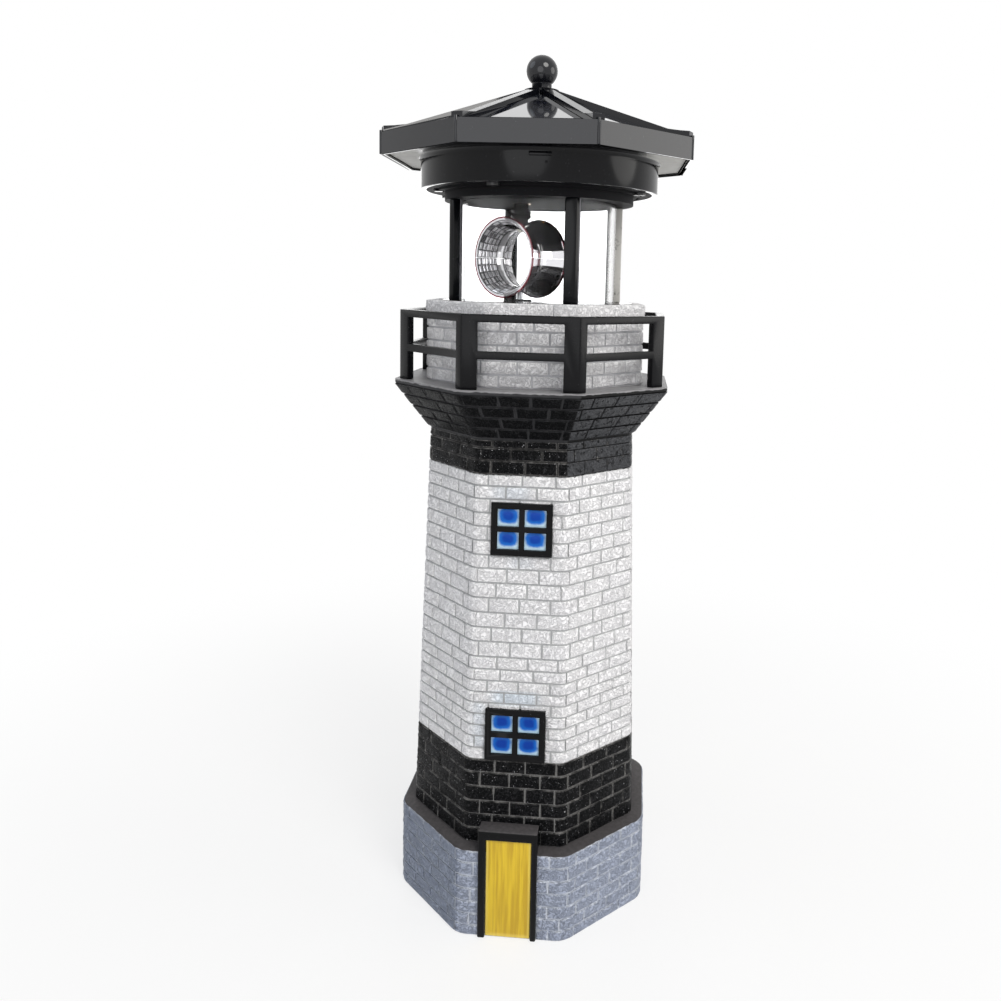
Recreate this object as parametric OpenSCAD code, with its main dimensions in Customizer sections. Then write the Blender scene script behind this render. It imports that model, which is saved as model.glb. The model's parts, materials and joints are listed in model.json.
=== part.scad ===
// Garden lighthouse: a painted octagonal brick tower with a solar lamp head on top.
// Millimetres. The origin is the centre of the foot, +Z is up, and the door faces -Y.
// The tower stands still, the lamp head lifts out of it, and the reflector in the
// lantern is turned by a small gear motor under the roof.

/* [Tower] */
// Width of the plinth across its flats, measured in the mortar joints of its bricks
plinth_w = 80.6; // [70:0.1:95]
// Height of the plinth up to the edge of its ledge
plinth_h = 28.3; // [20:0.1:40]
// Rise of the sloping ledge from its edge to the shaft
ledge_rise = 0.5; // [0.2:0.1:2]
// Width of the ledge round the shaft's foot
ledge_w = 4.1; // [2:0.05:8]
// How far each side of the shaft leans in on its way up
shaft_lean = 4.05; // [0:0.05:8]
// Height of the shaft
shaft_h = 127.0; // [90:0.5:160]
// How far the gallery floor stands out over the shaft's top
gallery_overhang = 11.1; // [6:0.1:16]
// Height of the flare under the gallery floor
flare_h = 15.4; // [10:0.1:25]
// Thickness of the gallery floor
floor_t = 1.1; // [0.8:0.1:4]
// Width of the walkway between the railing and the brick drum
walkway_w = 5.4; // [4:0.1:8]
// Height of the brick drum
brick_drum_h = 25.1; // [20:0.1:35]
// How far the brick drum is turned against the shaft, in degrees
brick_drum_turn = 3.9; // [0:0.1:8]
// Height of the top course of the brick drum
top_course_h = 3.5; // [2:0.1:6]
// How far the top course stands out
top_course_lip = 0.3; // [0.1:0.1:1]
// Least wall of the brick drum round the lantern's foot
drum_seat_wall = 2.3; // [1.5:0.1:4]
// Wall of the cast plinth and shaft
cast_wall = 4.2; // [3:0.1:6]

/* [Gallery railing] */
// How far the railing stands in from the floor's edge
railing_inset = 1.65; // [0.5:0.05:4]
// Height of the railing above the floor
railing_h = 22.0; // [15:0.1:30]
// Height of each rail
rail_h = 2.3; // [1.5:0.1:4]
// Depth of the rails and posts
rail_t = 2.3; // [1.5:0.1:3]
// Height of the middle rail's underside above the floor
mid_rail_z = 9.0; // [6:0.1:12]
// Wide leg of a corner post
post_wide = 4.6; // [3.5:0.1:6]
// Narrow leg of a corner post
post_narrow = 2.8; // [2.4:0.1:3.4]

/* [Door and windows] */
// Width over the door frame
door_frame_w = 18.9; // [16:0.1:24]
// How far the door frame rises above the plinth's edge
door_head_rise = 7.5; // [5:0.1:15]
// Width of the door frame's bars
door_bar_w = 3.1; // [2:0.1:4]
// How far the door frame stands out of the plinth
door_frame_t = 1.3; // [0.7:0.1:3]
// Thickness of the door leaf
door_leaf_t = 0.6; // [0.3:0.1:0.6]
// Gap under the door leaf
door_sill_gap = 0.5; // [0.3:0.1:2]
// Sideways place of the door
door_x = -0.8; // [-3:0.1:3]
// Width over a window frame
window_w = 18.7; // [14:0.1:22]
// Height over a window frame
window_h = 16.2; // [12:0.1:20]
// Width of a window frame's outer bars
window_bar_w = 1.85; // [1:0.05:3]
// Width of the bars between the panes
mullion_w = 1.6; // [0.8:0.1:2.5]
// How far a window frame stands out of the wall
window_t = 1.5; // [0.9:0.1:3]
// Thickness of a pane
pane_t = 0.8; // [0.4:0.1:0.9]
// How far the upper window's middle lies below the shaft's top
upper_window_drop = 26.5; // [15:0.1:50]
// Height of the lower window's middle above the foot of the shaft
lower_window_z = 35.8; // [20:0.1:60]
// Sideways place of the upper window
upper_window_x = 0.5; // [-3:0.1:3]
// Sideways place of the lower window
lower_window_x = -0.1; // [-3:0.1:3]

/* [Lantern] */
// Height of the lantern from its foot plate to the underside of the head
lantern_h = 31.5; // [29:0.1:40]
// Depth of the foot in its recess
foot_depth = 5.5; // [4:0.1:8]
// Radial play of the foot in its recess
foot_play = 0.4; // [0.3:0.1:0.6]
// Thickness of the foot's top plate
foot_plate_t = 1.6; // [1.2:0.1:2.4]
// How far a post's outer arris stands in from the foot's edge
post_inset = 1.0; // [0.8:0.1:1.4]
// Front leg of a lantern post
post_front = 3.4; // [3:0.1:3.6]
// Side leg of a lantern post
post_side = 2.0; // [1.5:0.1:2.4]
// Depth of a lantern post
post_depth = 3.8; // [3:0.1:3.9]
// How far the lantern posts are turned against the shaft's corners, in degrees
cage_turn = 5.4; // [0:0.1:8]
// How far the clear lens stands in from the foot's edge
lens_inset = 6.0; // [5.9:0.1:8]
// Wall of the clear lens
lens_t = 1.3; // [1:0.1:1.6]

/* [Reflector] */
// Radius over the reflector's rims
reflector_rim_r = 13.1; // [11:0.1:13.4]
// Length of the reflector from rim to rim
reflector_l = 16.8; // [14:0.1:18]
// Inner radius of the reflector's waist
reflector_waist_r = 9.3; // [8:0.1:10]
// Wall of the reflector
reflector_t = 1.1; // [0.8:0.1:1.4]
// Gap between the reflector's rims and the foot plate
reflector_lift = 0.8; // [0.7:0.1:2]
// Least gap between the turning reflector and the lens
swing_gap = 2.44; // [1.5:0.02:4]
// The way the reflector looks at rest, in degrees from the door side
reflector_look = -34.7; // [-90:0.1:90]
// Outer radius of the reflector's sleeve
sleeve_r = 2.4; // [2.3:0.1:3]
// Bore radius of the sleeve
sleeve_bore_r = 1.8; // [1.75:0.05:1.9]
// Radius of the lower pivot boss
pivot_boss_r = 3.9; // [3:0.1:5]
// Radius of the pivot pin
pivot_pin_r = 1.0; // [0.8:0.1:1.4]

/* [Lamp head] */
// How far the round drum under the eave stands out over the lantern's foot
drum_overhang = 7.1; // [6.5:0.1:10]
// Height of the drum
drum_h = 9.9; // [9.5:0.1:16]
// Wall of the drum
drum_wall = 1.8; // [1.4:0.1:2]
// How far the eave stands out over the drum
eave_overhang = 9.2; // [8.5:0.1:16]
// Height of the roof's upright edge
fascia_h = 6.6; // [6.2:0.1:10]
// Depth of the recess under the eave
soffit_recess = 0.8; // [0.4:0.1:1.5]
// Thickness of the eave's underside
soffit_t = 1.5; // [1:0.1:2]
// Width of the shallow border along the eave
eave_border_w = 7.0; // [4:0.1:9]
// Rise of the border along the eave
eave_border_rise = 0.1; // [0.1:0.1:1]
// Rise of the roof for each millimetre inwards
roof_slope = 0.391; // [0.35:0.001:0.6]
// Wall of the roof
roof_wall = 1.5; // [1.2:0.1:2]
// How far the roof is turned against the shaft, in degrees
head_turn = 1.9; // [0:0.1:8]
// Width of a hip rib
rib_w = 3.6; // [2.4:0.1:4]
// Height of a hip rib above the roof
rib_rise = 1.3; // [0.8:0.1:2]
// Height of the rib's end above the eave's corner
rib_end_rise = 1.7; // [1.2:0.1:2.4]
// Thickness of a solar panel
panel_t = 1.2; // [0.8:0.1:1.4]
// Radius of the finial ball
ball_r = 5.1; // [4:0.1:7]
// Height of the neck under the finial ball
neck_h = 2.0; // [1:0.1:4]

/* [Drive and electrics] */
// Size of a gear tooth, as pitch diameter over teeth
tooth_module = 0.5; // [0.45:0.01:0.52]
// Teeth of the gear on the reflector's sleeve
gear_teeth = 40; // [40:4:44]
// Teeth of the motor pinion
pinion_teeth = 10; // [10:1:11]
// Thickness of the gears
gear_t = 2.3; // [1.5:0.1:2.4]
// Play between the gears' pitch circles
mesh_play = 0.05; // [0.03:0.01:0.1]
// Radial clearance of a shaft in its bearing
running_gap = 0.05; // [0.03:0.01:0.08]
// Radius of the motor
motor_r = 6.0; // [5:0.1:6.4]
// Height of the motor
motor_h = 9.0; // [7:0.1:11]
// Radius of the rechargeable cell
cell_r = 5.25; // [5:0.05:5.5]
// Length of the rechargeable cell without its button
cell_l = 43.5; // [40:0.5:46]
// Length of the circuit board
board_l = 28.0; // [20:0.5:32]
// Width of the circuit board
board_w = 13.0; // [10:0.5:14]
// Radius of the light
led_r = 1.5; // [1.2:0.1:1.7]
// Travel of the switch knob
switch_travel = 2.4; // [1.5:0.1:2.6]

/* [Hidden] */
$fn = 96;

// An octagon's corners lie this angle from the middle of its sides, and its corner
// radius is this many times its half width
corner_angle = 22.5;
corner_factor = 1 / cos(corner_angle);
overrun = 1.0;
fit_gap = 0.1;

// Widths, each from the one below it
shaft_foot_w = plinth_w - 2 * ledge_w;
shaft_top_w = shaft_foot_w - 2 * shaft_lean;
gallery_w = shaft_top_w + 2 * gallery_overhang;
railing_w = gallery_w - 2 * railing_inset;
brick_drum_w = railing_w - 2 * rail_t - 2 * walkway_w;
foot_r = brick_drum_w / 2 - drum_seat_wall - foot_play;
post_arris_r = foot_r - post_inset;
lens_r = foot_r - lens_inset;
drum_r = foot_r + drum_overhang;
roof_w = 2 * (drum_r + eave_overhang);
door_frame_h = plinth_h + door_head_rise;

// Heights of the tower
ledge_top_z = plinth_h + ledge_rise;
shaft_top_z = ledge_top_z + shaft_h;
floor_z = shaft_top_z + flare_h + floor_t;
brick_top_z = floor_z + brick_drum_h;
shaft_tilt = atan((shaft_foot_w - shaft_top_w) / 2 / shaft_h);
upper_window_z = shaft_h - upper_window_drop;
ledge_land = 0.75;
plinth_deck_t = 4.3;
plinth_hole_margin = 6.2;
plinth_hole_r = shaft_foot_w / 2 - plinth_hole_margin;
plug_t = 2.2;
plug_rebate = 1.5;
pad_t = 0.8;
pad_r = 5.0;
pad_ring_share = 0.6;
flare_mid_h_share = 0.66;
flare_mid_w_share = 0.66;
gallery_neck_wall = 4.15;
gallery_bore_r = shaft_top_w / 2 - gallery_neck_wall;
drum_shelf_w = 4.2;
drum_shelf_r = foot_r - drum_shelf_w;

// Heights of the lamp head
foot_top_z = brick_top_z + fit_gap;
foot_bottom_z = foot_top_z - foot_depth;
cover_low_z = foot_top_z + lantern_h;
collar_h = 3.3;
drum_low_z = cover_low_z + collar_h;
soffit_z = drum_low_z + drum_h;
fascia_low_z = soffit_z - soffit_recess;
fascia_top_z = fascia_low_z + fascia_h;
border_r = roof_w / 2 - eave_border_w;
bed_z = fascia_top_z + eave_border_rise;
roof_angle = atan(roof_slope);
panel_rise = panel_t / cos(roof_angle);
wall_drop = roof_wall / cos(roof_angle);
bed_edge = 0.2;
bed_r = border_r - bed_edge;
apex_r = 3.2;
apex_z = bed_z + (bed_r - apex_r) * roof_slope;
hub_r = 5.6;
hub_rise = 0.4;
hip_slope = roof_slope / corner_factor;
hub_z = bed_z + panel_rise + rib_rise + (border_r * corner_factor - hub_r) * hip_slope + hub_rise;
inner_apex_r = 5.0;
inner_z = bed_z - wall_drop;
inner_apex_z = inner_z + (border_r - inner_apex_r) * roof_slope;
cavity_shoulder = 0.9;
panel_top_r = 6.6;
neck_r = 3.2;
fillet_r = 1.6;
soffit_gap = 0.3;
fascia_rim_t = 1.3;
fascia_wall_t = 2.75;
rib_inner_r = 4.5;
ball_z = hub_z + neck_h + sqrt(ball_r * ball_r - neck_r * neck_r);
stud_r = 1.5;
nut_t = 2.0;
nut_w = 6.0;

// The cover, the chassis and what they carry
cover_t = 1.5;
cover_floor_t = 1.4;
collar_inset = 0.6;
collar_r = foot_r - collar_inset;
collar_wall = 2.2;
step_ring_inset = 5.1;
step_ring_r = drum_r - step_ring_inset;
step_ring_t = 0.7;
slot_ring_w = 0.9;
slot_ring_r = step_ring_r - slot_ring_w - fit_gap;
slot_arc_angle = 15;
slot_turn = 9.9;
cover_top_z = drum_low_z + cover_t;
screw_ring_inset = 4.3;
screw_ring_r = drum_r - screw_ring_inset;
screw_turn = cage_turn + 3 * corner_angle;
screw_shank_r = 0.85;
screw_head_r = 1.9;
screw_head_t = 0.9;
screw_l = 6.0;
boss_r = 2.6;
chassis_inset = 3.0;
chassis_r = screw_ring_r - chassis_inset;
chassis_t = 1.5;
chassis_top_z = cover_top_z + chassis_t;
board_standoff_h = 1.0;
board_standoff_r = 1.6;
board_t = 1.2;
board_gap = 2.5;
board_y = -(motor_r + board_gap + board_w / 2);
chip_t = 1.1;
coil_r = 2.4;
coil_h = 3.2;
motor_cap_t = 1.0;
cell_floor_t = 1.2;
cell_side_gap = 0.2;
cell_gap = 0.4;
holder_wall = 0.9;
cell_y = motor_r + cell_gap + holder_wall + cell_side_gap + cell_r;
contact_t = 0.4;
contact_share = 0.68;
contact_w = 2 * cell_r * contact_share;
button_l = 1.0;
button_r = 1.9;
cell_z = chassis_top_z + cell_floor_t + cell_r + cell_side_gap;
holder_share = 0.9;

// The spindle, the gears and the reflector
gear_r = tooth_module * gear_teeth / 2;
pinion_r = tooth_module * pinion_teeth / 2;
tip_share = 0.9;
root_share = 1.15;
swing_r = sqrt(reflector_rim_r * reflector_rim_r + reflector_l * reflector_l / 4);
spindle_x = -(lens_r - lens_t - swing_r - swing_gap);
motor_x = spindle_x + gear_r + pinion_r + mesh_play;
floor_top_z = cover_low_z + cover_floor_t;
bush_flange_t = 0.5;
bush_flange_r = 4.2;
bush_wall = 0.7;
bush_r = sleeve_r + running_gap + bush_wall;
gear_low_z = floor_top_z + bush_flange_t + fit_gap;
gear_top_z = gear_low_z + gear_t;
sleeve_head_t = 0.3;
sleeve_head_r = 3.4;
pinion_shaft_r = 0.75;
pinion_shaft_l = 7.5;
motor_bore_l = 4.0;
pinion_hole_r = 2.0;
reflector_z = foot_top_z + reflector_lift + reflector_rim_r;
reflector_throat_r = reflector_rim_r - reflector_t;
waist_top_z = reflector_z + reflector_waist_r + reflector_t;
waist_low_z = reflector_z - reflector_waist_r - reflector_t;
sleeve_boss_r = 3.6;
sleeve_boss_h = 0.8;
lower_boss_r = 2.8;
pivot_boss_h = 0.5;
pivot_gap = 0.15;
pivot_top_z = foot_top_z + pivot_boss_h;
pin_depth = 2.6;
pin_socket_floor = 0.7;
led_stem_r = 1.45;
led_flange_r = 3.0;
led_flange_t = 1.0;
led_dip = 1.0;
led_tip_z = reflector_z + reflector_waist_r - led_dip;
led_h = 1.8;
switch_angle = -70.5;
switch_inset = 5.6;
switch_ring_r = drum_r - switch_inset;
switch_slot_w = 3.2;
switch_knob_l = 2.2;
switch_knob_w = 2.4;
switch_knob_h = 2.2;
switch_body_l = 9.0;
switch_body_w = 4.0;
switch_body_h = 4.0;
switch_slot_l = switch_knob_l + switch_travel + 4 * fit_gap;

// Solid helpers

module at_z(z) {
    translate([0, 0, z]) children();
}

// A point at angle a from the door side, seen from above, at radius r
module at_angle(a, r = 0) {
    rotate([0, 0, a]) translate([0, -r, 0]) children();
}

module round_bar(r, z0, z1) {
    at_z(z0) cylinder(r = r, h = z1 - z0);
}

module octagon_prism(w, z0, z1) {
    at_z(z0) rotate([0, 0, corner_angle]) cylinder(r = w / 2 * corner_factor, h = z1 - z0, $fn = 8);
}

// An octagon whose width follows the steps [width, z], as four slabs that cross
module octagon_steps(steps) {
    length = 2 * max([for (p = steps) p[0]]);
    last = len(steps) - 1;
    intersection_for (a = [0 : 2 * corner_angle : 6 * corner_angle])
        rotate([90, 0, a]) linear_extrude(height = length, center = true) polygon(concat(
            [for (p = steps) [p[0] / 2, p[1]]],
            [for (k = [last : -1 : 0]) [-steps[k][0] / 2, steps[k][1]]]
        ));
}

module octagon_taper(w0, w1, z0, z1) {
    octagon_steps([[w0, z0], [w1, z1]]);
}

module shaft_outside() {
    octagon_taper(shaft_foot_w, shaft_top_w, ledge_top_z, shaft_top_z);
}

// The tower

module plinth() {
    cavity_w = plinth_w - 2 * cast_wall;
    color([0.49, 0.51, 0.59]) difference() {
        octagon_steps([
            [plinth_w, 0], [plinth_w, plinth_h], [shaft_foot_w + 2 * ledge_land, ledge_top_z]
        ]);
        octagon_prism(cavity_w - 2 * plug_rebate, -overrun, ledge_top_z - plinth_deck_t);
        octagon_prism(cavity_w, -overrun, pad_t + plug_t);
        round_bar(plinth_hole_r, 0, ledge_top_z + overrun);
    }
}

module bottom_plug() {
    color([0.2, 0.2, 0.21])
        octagon_prism(plinth_w - 2 * cast_wall - 2 * fit_gap, pad_t, pad_t + plug_t);
}

module foot_pads() {
    color([0.12, 0.12, 0.12]) for (a = [45 : 90 : 315])
        at_angle(a, plinth_w / 2 * pad_ring_share) round_bar(pad_r, 0, pad_t);
}

module shaft() {
    inner_foot_w = shaft_foot_w - 2 * cast_wall;
    inner_top_w = shaft_top_w - 2 * cast_wall;
    step_w = (shaft_foot_w - shaft_top_w) / shaft_h * overrun;
    color([0.93, 0.93, 0.91]) difference() {
        shaft_outside();
        octagon_taper(
            inner_foot_w + step_w, inner_top_w - step_w, ledge_top_z - overrun, shaft_top_z + overrun
        );
    }
}

module gallery() {
    edge_z = floor_z - floor_t;
    mid_z = shaft_top_z + flare_h * flare_mid_h_share;
    mid_w = shaft_top_w + (gallery_w - shaft_top_w) * flare_mid_w_share;
    color([0.1, 0.1, 0.11]) difference() {
        octagon_steps([
            [shaft_top_w, shaft_top_z], [mid_w, mid_z], [gallery_w, edge_z], [gallery_w, floor_z]
        ]);
        round_bar(gallery_bore_r, shaft_top_z - overrun, floor_z + overrun);
    }
}

module brick_drum() {
    color([0.94, 0.94, 0.92]) rotate([0, 0, brick_drum_turn]) difference() {
        union() {
            octagon_prism(brick_drum_w, floor_z, brick_top_z - top_course_h);
            octagon_prism(brick_drum_w + 2 * top_course_lip, brick_top_z - top_course_h, brick_top_z);
        }
        round_bar(drum_shelf_r, floor_z - overrun, brick_top_z);
        round_bar(foot_r + foot_play, foot_bottom_z, brick_top_z + overrun);
    }
}

module octagon_ring(w, t, z0, z1) {
    difference() {
        octagon_prism(w, z0, z1);
        octagon_prism(w - 2 * t, z0 - overrun, z1 + overrun);
    }
}

// The gap between two posts on side i, between heights z0 and z1. The posts show
// their wide leg to the door side.
module railing_gap(i, z0, z1) {
    half_l = railing_w / 2 * tan(corner_angle);
    right_leg = i < 4 ? post_wide : post_narrow;
    left_leg = i == 0 || i > 4 ? post_wide : post_narrow;
    rotate([0, 0, 2 * corner_angle * i]) translate([left_leg - half_l, -railing_w / 2 - overrun, z0])
        cube([2 * half_l - left_leg - right_leg, rail_t + 2 * overrun, z1 - z0]);
}

module gallery_railing() {
    top_z = floor_z + railing_h;
    mid_z = floor_z + mid_rail_z;
    color([0.08, 0.08, 0.09]) difference() {
        octagon_ring(railing_w, rail_t, floor_z, top_z);
        for (i = [0:7]) {
            railing_gap(i, floor_z - overrun, mid_z);
            railing_gap(i, mid_z + rail_h, top_z - rail_h);
        }
    }
}

// The door stands on the ground in front of the plinth, and its head closes the
// gap back to the shaft.

module door_frame() {
    leaf_w = door_frame_w - 2 * door_bar_w;
    leaf_top_z = door_frame_h - door_bar_w;
    front_y = -plinth_w / 2 - door_frame_t;
    head_y = -shaft_foot_w / 2 + (door_frame_h - ledge_top_z) * tan(shaft_tilt);
    color([0.05, 0.05, 0.055]) difference() {
        translate([door_x - door_frame_w / 2, 0, 0]) rotate([90, 0, 90])
            linear_extrude(height = door_frame_w) polygon([
                [front_y, 0],
                [-plinth_w / 2, 0],
                [-plinth_w / 2, plinth_h],
                [-shaft_foot_w / 2 - ledge_land, ledge_top_z],
                [-shaft_foot_w / 2, ledge_top_z],
                [head_y, door_frame_h],
                [front_y, door_frame_h]
            ]);
        translate([door_x - leaf_w / 2, front_y - overrun, -overrun])
            cube([leaf_w, overrun + door_frame_t, leaf_top_z + overrun]);
    }
}

module door_leaf() {
    leaf_w = door_frame_w - 2 * door_bar_w - 2 * fit_gap;
    leaf_h = door_frame_h - door_bar_w - door_sill_gap - fit_gap;
    color([0.84, 0.72, 0.16])
        translate([door_x - leaf_w / 2, -plinth_w / 2 - door_leaf_t, door_sill_gap])
            cube([leaf_w, door_leaf_t, leaf_h]);
}

// Puts a flat piece on the front side of the shaft, at height z above its foot
module on_front_side(x, z) {
    y = shaft_foot_w / 2 - z * tan(shaft_tilt);
    translate([x, -y, ledge_top_z + z]) rotate([-shaft_tilt, 0, 0]) children();
}

module plate(w, t, h) {
    translate([-w / 2, -t, -h / 2]) cube([w, t, h]);
}

pane_w = (window_w - 2 * window_bar_w - mullion_w) / 2;
pane_h = (window_h - 2 * window_bar_w - mullion_w) / 2;

// Places of the panes: 1 and 2 above, 3 and 4 below
function pane_place(i) = [
    (i % 2 == 1 ? -1 : 1) * (pane_w + mullion_w) / 2,
    0,
    (i <= 2 ? 1 : -1) * (pane_h + mullion_w) / 2
];

module window_frame(x, z) {
    color([0.05, 0.05, 0.055]) on_front_side(x, z) difference() {
        plate(window_w, window_t, window_h);
        for (i = [1:4]) translate(pane_place(i) + [0, overrun, 0])
            plate(pane_w, window_t + 2 * overrun, pane_h);
    }
}

module window_pane(x, z, i) {
    color([0.12, 0.42, 0.78]) on_front_side(x, z) translate(pane_place(i))
        plate(pane_w - fit_gap, pane_t, pane_h - fit_gap);
}

// The lantern: a foot plate, four corner posts and a clear lens

module lantern_foot() {
    socket_top_z = foot_top_z - foot_plate_t;
    pin_floor_z = pivot_top_z - pin_depth;
    color([0.07, 0.07, 0.075]) difference() {
        union() {
            difference() {
                round_bar(foot_r, foot_bottom_z, foot_top_z);
                round_bar(drum_shelf_r, foot_bottom_z - overrun, socket_top_z);
            }
            translate([spindle_x, 0, 0]) {
                round_bar(pivot_boss_r, foot_top_z - foot_plate_t / 2, pivot_top_z);
                round_bar(lower_boss_r, pin_floor_z - pin_socket_floor, foot_top_z - foot_plate_t / 2);
            }
        }
        translate([spindle_x, 0, 0]) round_bar(pivot_pin_r + running_gap, pin_floor_z, pivot_top_z + overrun);
    }
}

module lantern_post(i) {
    arris = [post_arris_r * sin(corner_angle), -post_arris_r * cos(corner_angle)];
    lean_share = 0.05;
    color([0.07, 0.07, 0.075]) rotate([0, 0, cage_turn + 90 * (i - 1)])
        at_z(foot_top_z) linear_extrude(height = lantern_h) translate(arris) polygon([
            [0, 0],
            [-post_front, 0],
            [-post_front, post_depth],
            [-post_depth * lean_share, post_depth],
            [post_side * cos(2 * corner_angle), post_side * sin(2 * corner_angle)]
        ]);
}

module clear_lens() {
    color([0.85, 0.9, 0.92, 0.3]) difference() {
        round_bar(lens_r, foot_top_z, cover_low_z);
        round_bar(lens_r - lens_t, foot_top_z - overrun, cover_low_z + overrun);
    }
}

// The underside of the lamp head

module arc_slot(a) {
    at_angle(a - slot_arc_angle / 2) rotate([0, 0, -90]) rotate_extrude(angle = slot_arc_angle)
        translate([slot_ring_r - slot_ring_w / 2, drum_low_z - step_ring_t - overrun])
            square([slot_ring_w, step_ring_t + overrun]);
}

module underside_cover() {
    color([0.08, 0.08, 0.085]) difference() {
        union() {
            round_bar(drum_r - drum_wall - fit_gap, drum_low_z, cover_top_z);
            round_bar(step_ring_r, drum_low_z - step_ring_t, drum_low_z);
            round_bar(collar_r, cover_low_z, drum_low_z);
        }
        round_bar(collar_r - collar_wall, floor_top_z, cover_top_z + overrun);
        translate([spindle_x, 0, 0]) round_bar(bush_r, cover_low_z - overrun, floor_top_z + overrun);
        for (i = [0:3]) at_angle(screw_turn + 90 * i, screw_ring_r) {
            round_bar(screw_shank_r + fit_gap, cover_low_z, cover_top_z + overrun);
            round_bar(screw_head_r + fit_gap, drum_low_z - step_ring_t - overrun, drum_low_z);
        }
        for (i = [1:2]) arc_slot(slot_turn + 90 * i);
        at_angle(switch_angle, switch_ring_r)
            translate([-switch_slot_l / 2, -switch_slot_w / 2, cover_low_z])
                cube([switch_slot_l, switch_slot_w, cover_top_z - cover_low_z + overrun]);
    }
}

module cover_screws() {
    low_z = drum_low_z - screw_head_t;
    color([0.7, 0.7, 0.72]) for (i = [0:3]) at_angle(screw_turn + 90 * i, screw_ring_r) {
        difference() {
            round_bar(screw_head_r, low_z, drum_low_z);
            translate([-screw_head_r, -screw_head_t / 4, low_z - overrun])
                cube([2 * screw_head_r, screw_head_t / 2, overrun + screw_head_t / 2]);
        }
        round_bar(screw_shank_r, drum_low_z, drum_low_z + screw_l);
    }
}

// The drum and the underside of the eave are one moulding
module lower_housing() {
    plate_w = roof_w - 2 * fascia_rim_t - 2 * soffit_gap;
    inner_r = drum_r - drum_wall;
    mid_wall_r = inner_r + drum_wall / 2;
    fillet_steps = 6;
    color([0.07, 0.07, 0.075]) difference() {
        union() {
            rotate([0, 0, head_turn]) octagon_prism(plate_w, soffit_z, soffit_z + soffit_t);
            round_bar(drum_r, drum_low_z, soffit_z + soffit_t / 2);
            rotate_extrude() polygon(concat(
                [[mid_wall_r, soffit_z + soffit_t / 2], [mid_wall_r, soffit_z - fillet_r]],
                [for (k = [0:fillet_steps]) let (a = 90 * k / fillet_steps)
                    [drum_r + fillet_r * (1 - cos(a)), soffit_z - fillet_r * (1 - sin(a))]],
                [[drum_r + fillet_r, soffit_z + soffit_t / 2]]
            ));
        }
        difference() {
            round_bar(inner_r, drum_low_z - overrun, soffit_z + soffit_t + overrun);
            for (i = [0:3]) at_angle(screw_turn + 90 * i, screw_ring_r)
                round_bar(boss_r, cover_top_z, soffit_z + soffit_t);
        }
        for (i = [0:3]) at_angle(screw_turn + 90 * i, screw_ring_r)
            round_bar(screw_shank_r + running_gap, cover_top_z - overrun, cover_top_z + screw_l);
    }
}

// The roof: an upright edge, a shallow border, the bed of the panels and eight hip ribs

module hip_rib() {
    corner_r = roof_w / 2 * corner_factor;
    border_corner_r = border_r * corner_factor;
    end_r = corner_r - rib_w / 2 * tan(corner_angle);
    end_z = fascia_top_z + rib_end_rise;
    knee_z = bed_z + panel_rise + rib_rise;
    sink_z = bed_z - wall_drop / 2;
    mid_drop_share = 0.35;
    rotate([90, 0, 90]) linear_extrude(height = rib_w, center = true) polygon([
        [-rib_inner_r, knee_z + (border_corner_r - rib_inner_r) * hip_slope],
        [-border_corner_r, knee_z],
        [-(border_corner_r + corner_r) / 2, end_z + (knee_z - end_z) * mid_drop_share],
        [-end_r, end_z],
        [-end_r, fascia_top_z - fascia_h / 4],
        [-border_corner_r, sink_z],
        [-rib_inner_r, sink_z + (border_corner_r - rib_inner_r) * hip_slope]
    ]);
}

module roof_shell() {
    rim_w = roof_w - 2 * fascia_rim_t;
    cavity_w = roof_w - 2 * fascia_wall_t;
    shelf_z = soffit_z + soffit_t;
    color([0.06, 0.06, 0.065]) rotate([0, 0, head_turn]) difference() {
        union() {
            octagon_steps([
                [roof_w, fascia_low_z], [roof_w, fascia_top_z], [2 * bed_r, bed_z], [2 * apex_r, apex_z]
            ]);
            for (i = [0:7]) rotate([0, 0, corner_angle * (2 * i + 1)]) hip_rib();
            round_bar(hub_r, inner_apex_z, hub_z);
        }
        octagon_steps([
            [rim_w, fascia_low_z - overrun],
            [rim_w, shelf_z],
            [cavity_w, shelf_z],
            [cavity_w, inner_z - cavity_shoulder],
            [2 * border_r, inner_z],
            [2 * inner_apex_r, inner_apex_z]
        ]);
        round_bar(stud_r + fit_gap, inner_apex_z - overrun, hub_z + overrun);
    }
}

module solar_panel(i) {
    low_r = bed_r - panel_t * sin(roof_angle) - fit_gap;
    edge = (rib_w / 2 + fit_gap) * corner_factor;
    low_w = low_r * tan(corner_angle) - edge;
    top_w = panel_top_r * tan(corner_angle) - edge;
    length = (low_r - panel_top_r) / cos(roof_angle);
    low_z = bed_z + (bed_r - low_r) * roof_slope;
    color([0.1, 0.11, 0.16]) rotate([0, 0, head_turn + 2 * corner_angle * (i - 1)])
        translate([0, -low_r, low_z]) rotate([roof_angle, 0, 0]) linear_extrude(height = panel_t)
            polygon([[-low_w, 0], [low_w, 0], [top_w, length], [-top_w, length]]);
}

module finial() {
    color([0.06, 0.06, 0.065]) union() {
        at_z(ball_z) sphere(r = ball_r);
        round_bar(neck_r, hub_z, ball_z);
        round_bar(stud_r, inner_apex_z - nut_t - fit_gap, ball_z);
    }
}

module finial_nut() {
    color([0.75, 0.75, 0.77]) difference() {
        at_z(inner_apex_z - nut_t) cylinder(r = nut_w / 2 / cos(30), h = nut_t, $fn = 6);
        round_bar(stud_r + running_gap, inner_apex_z - nut_t - overrun, inner_apex_z + overrun);
    }
}

// The drive under the roof

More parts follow.
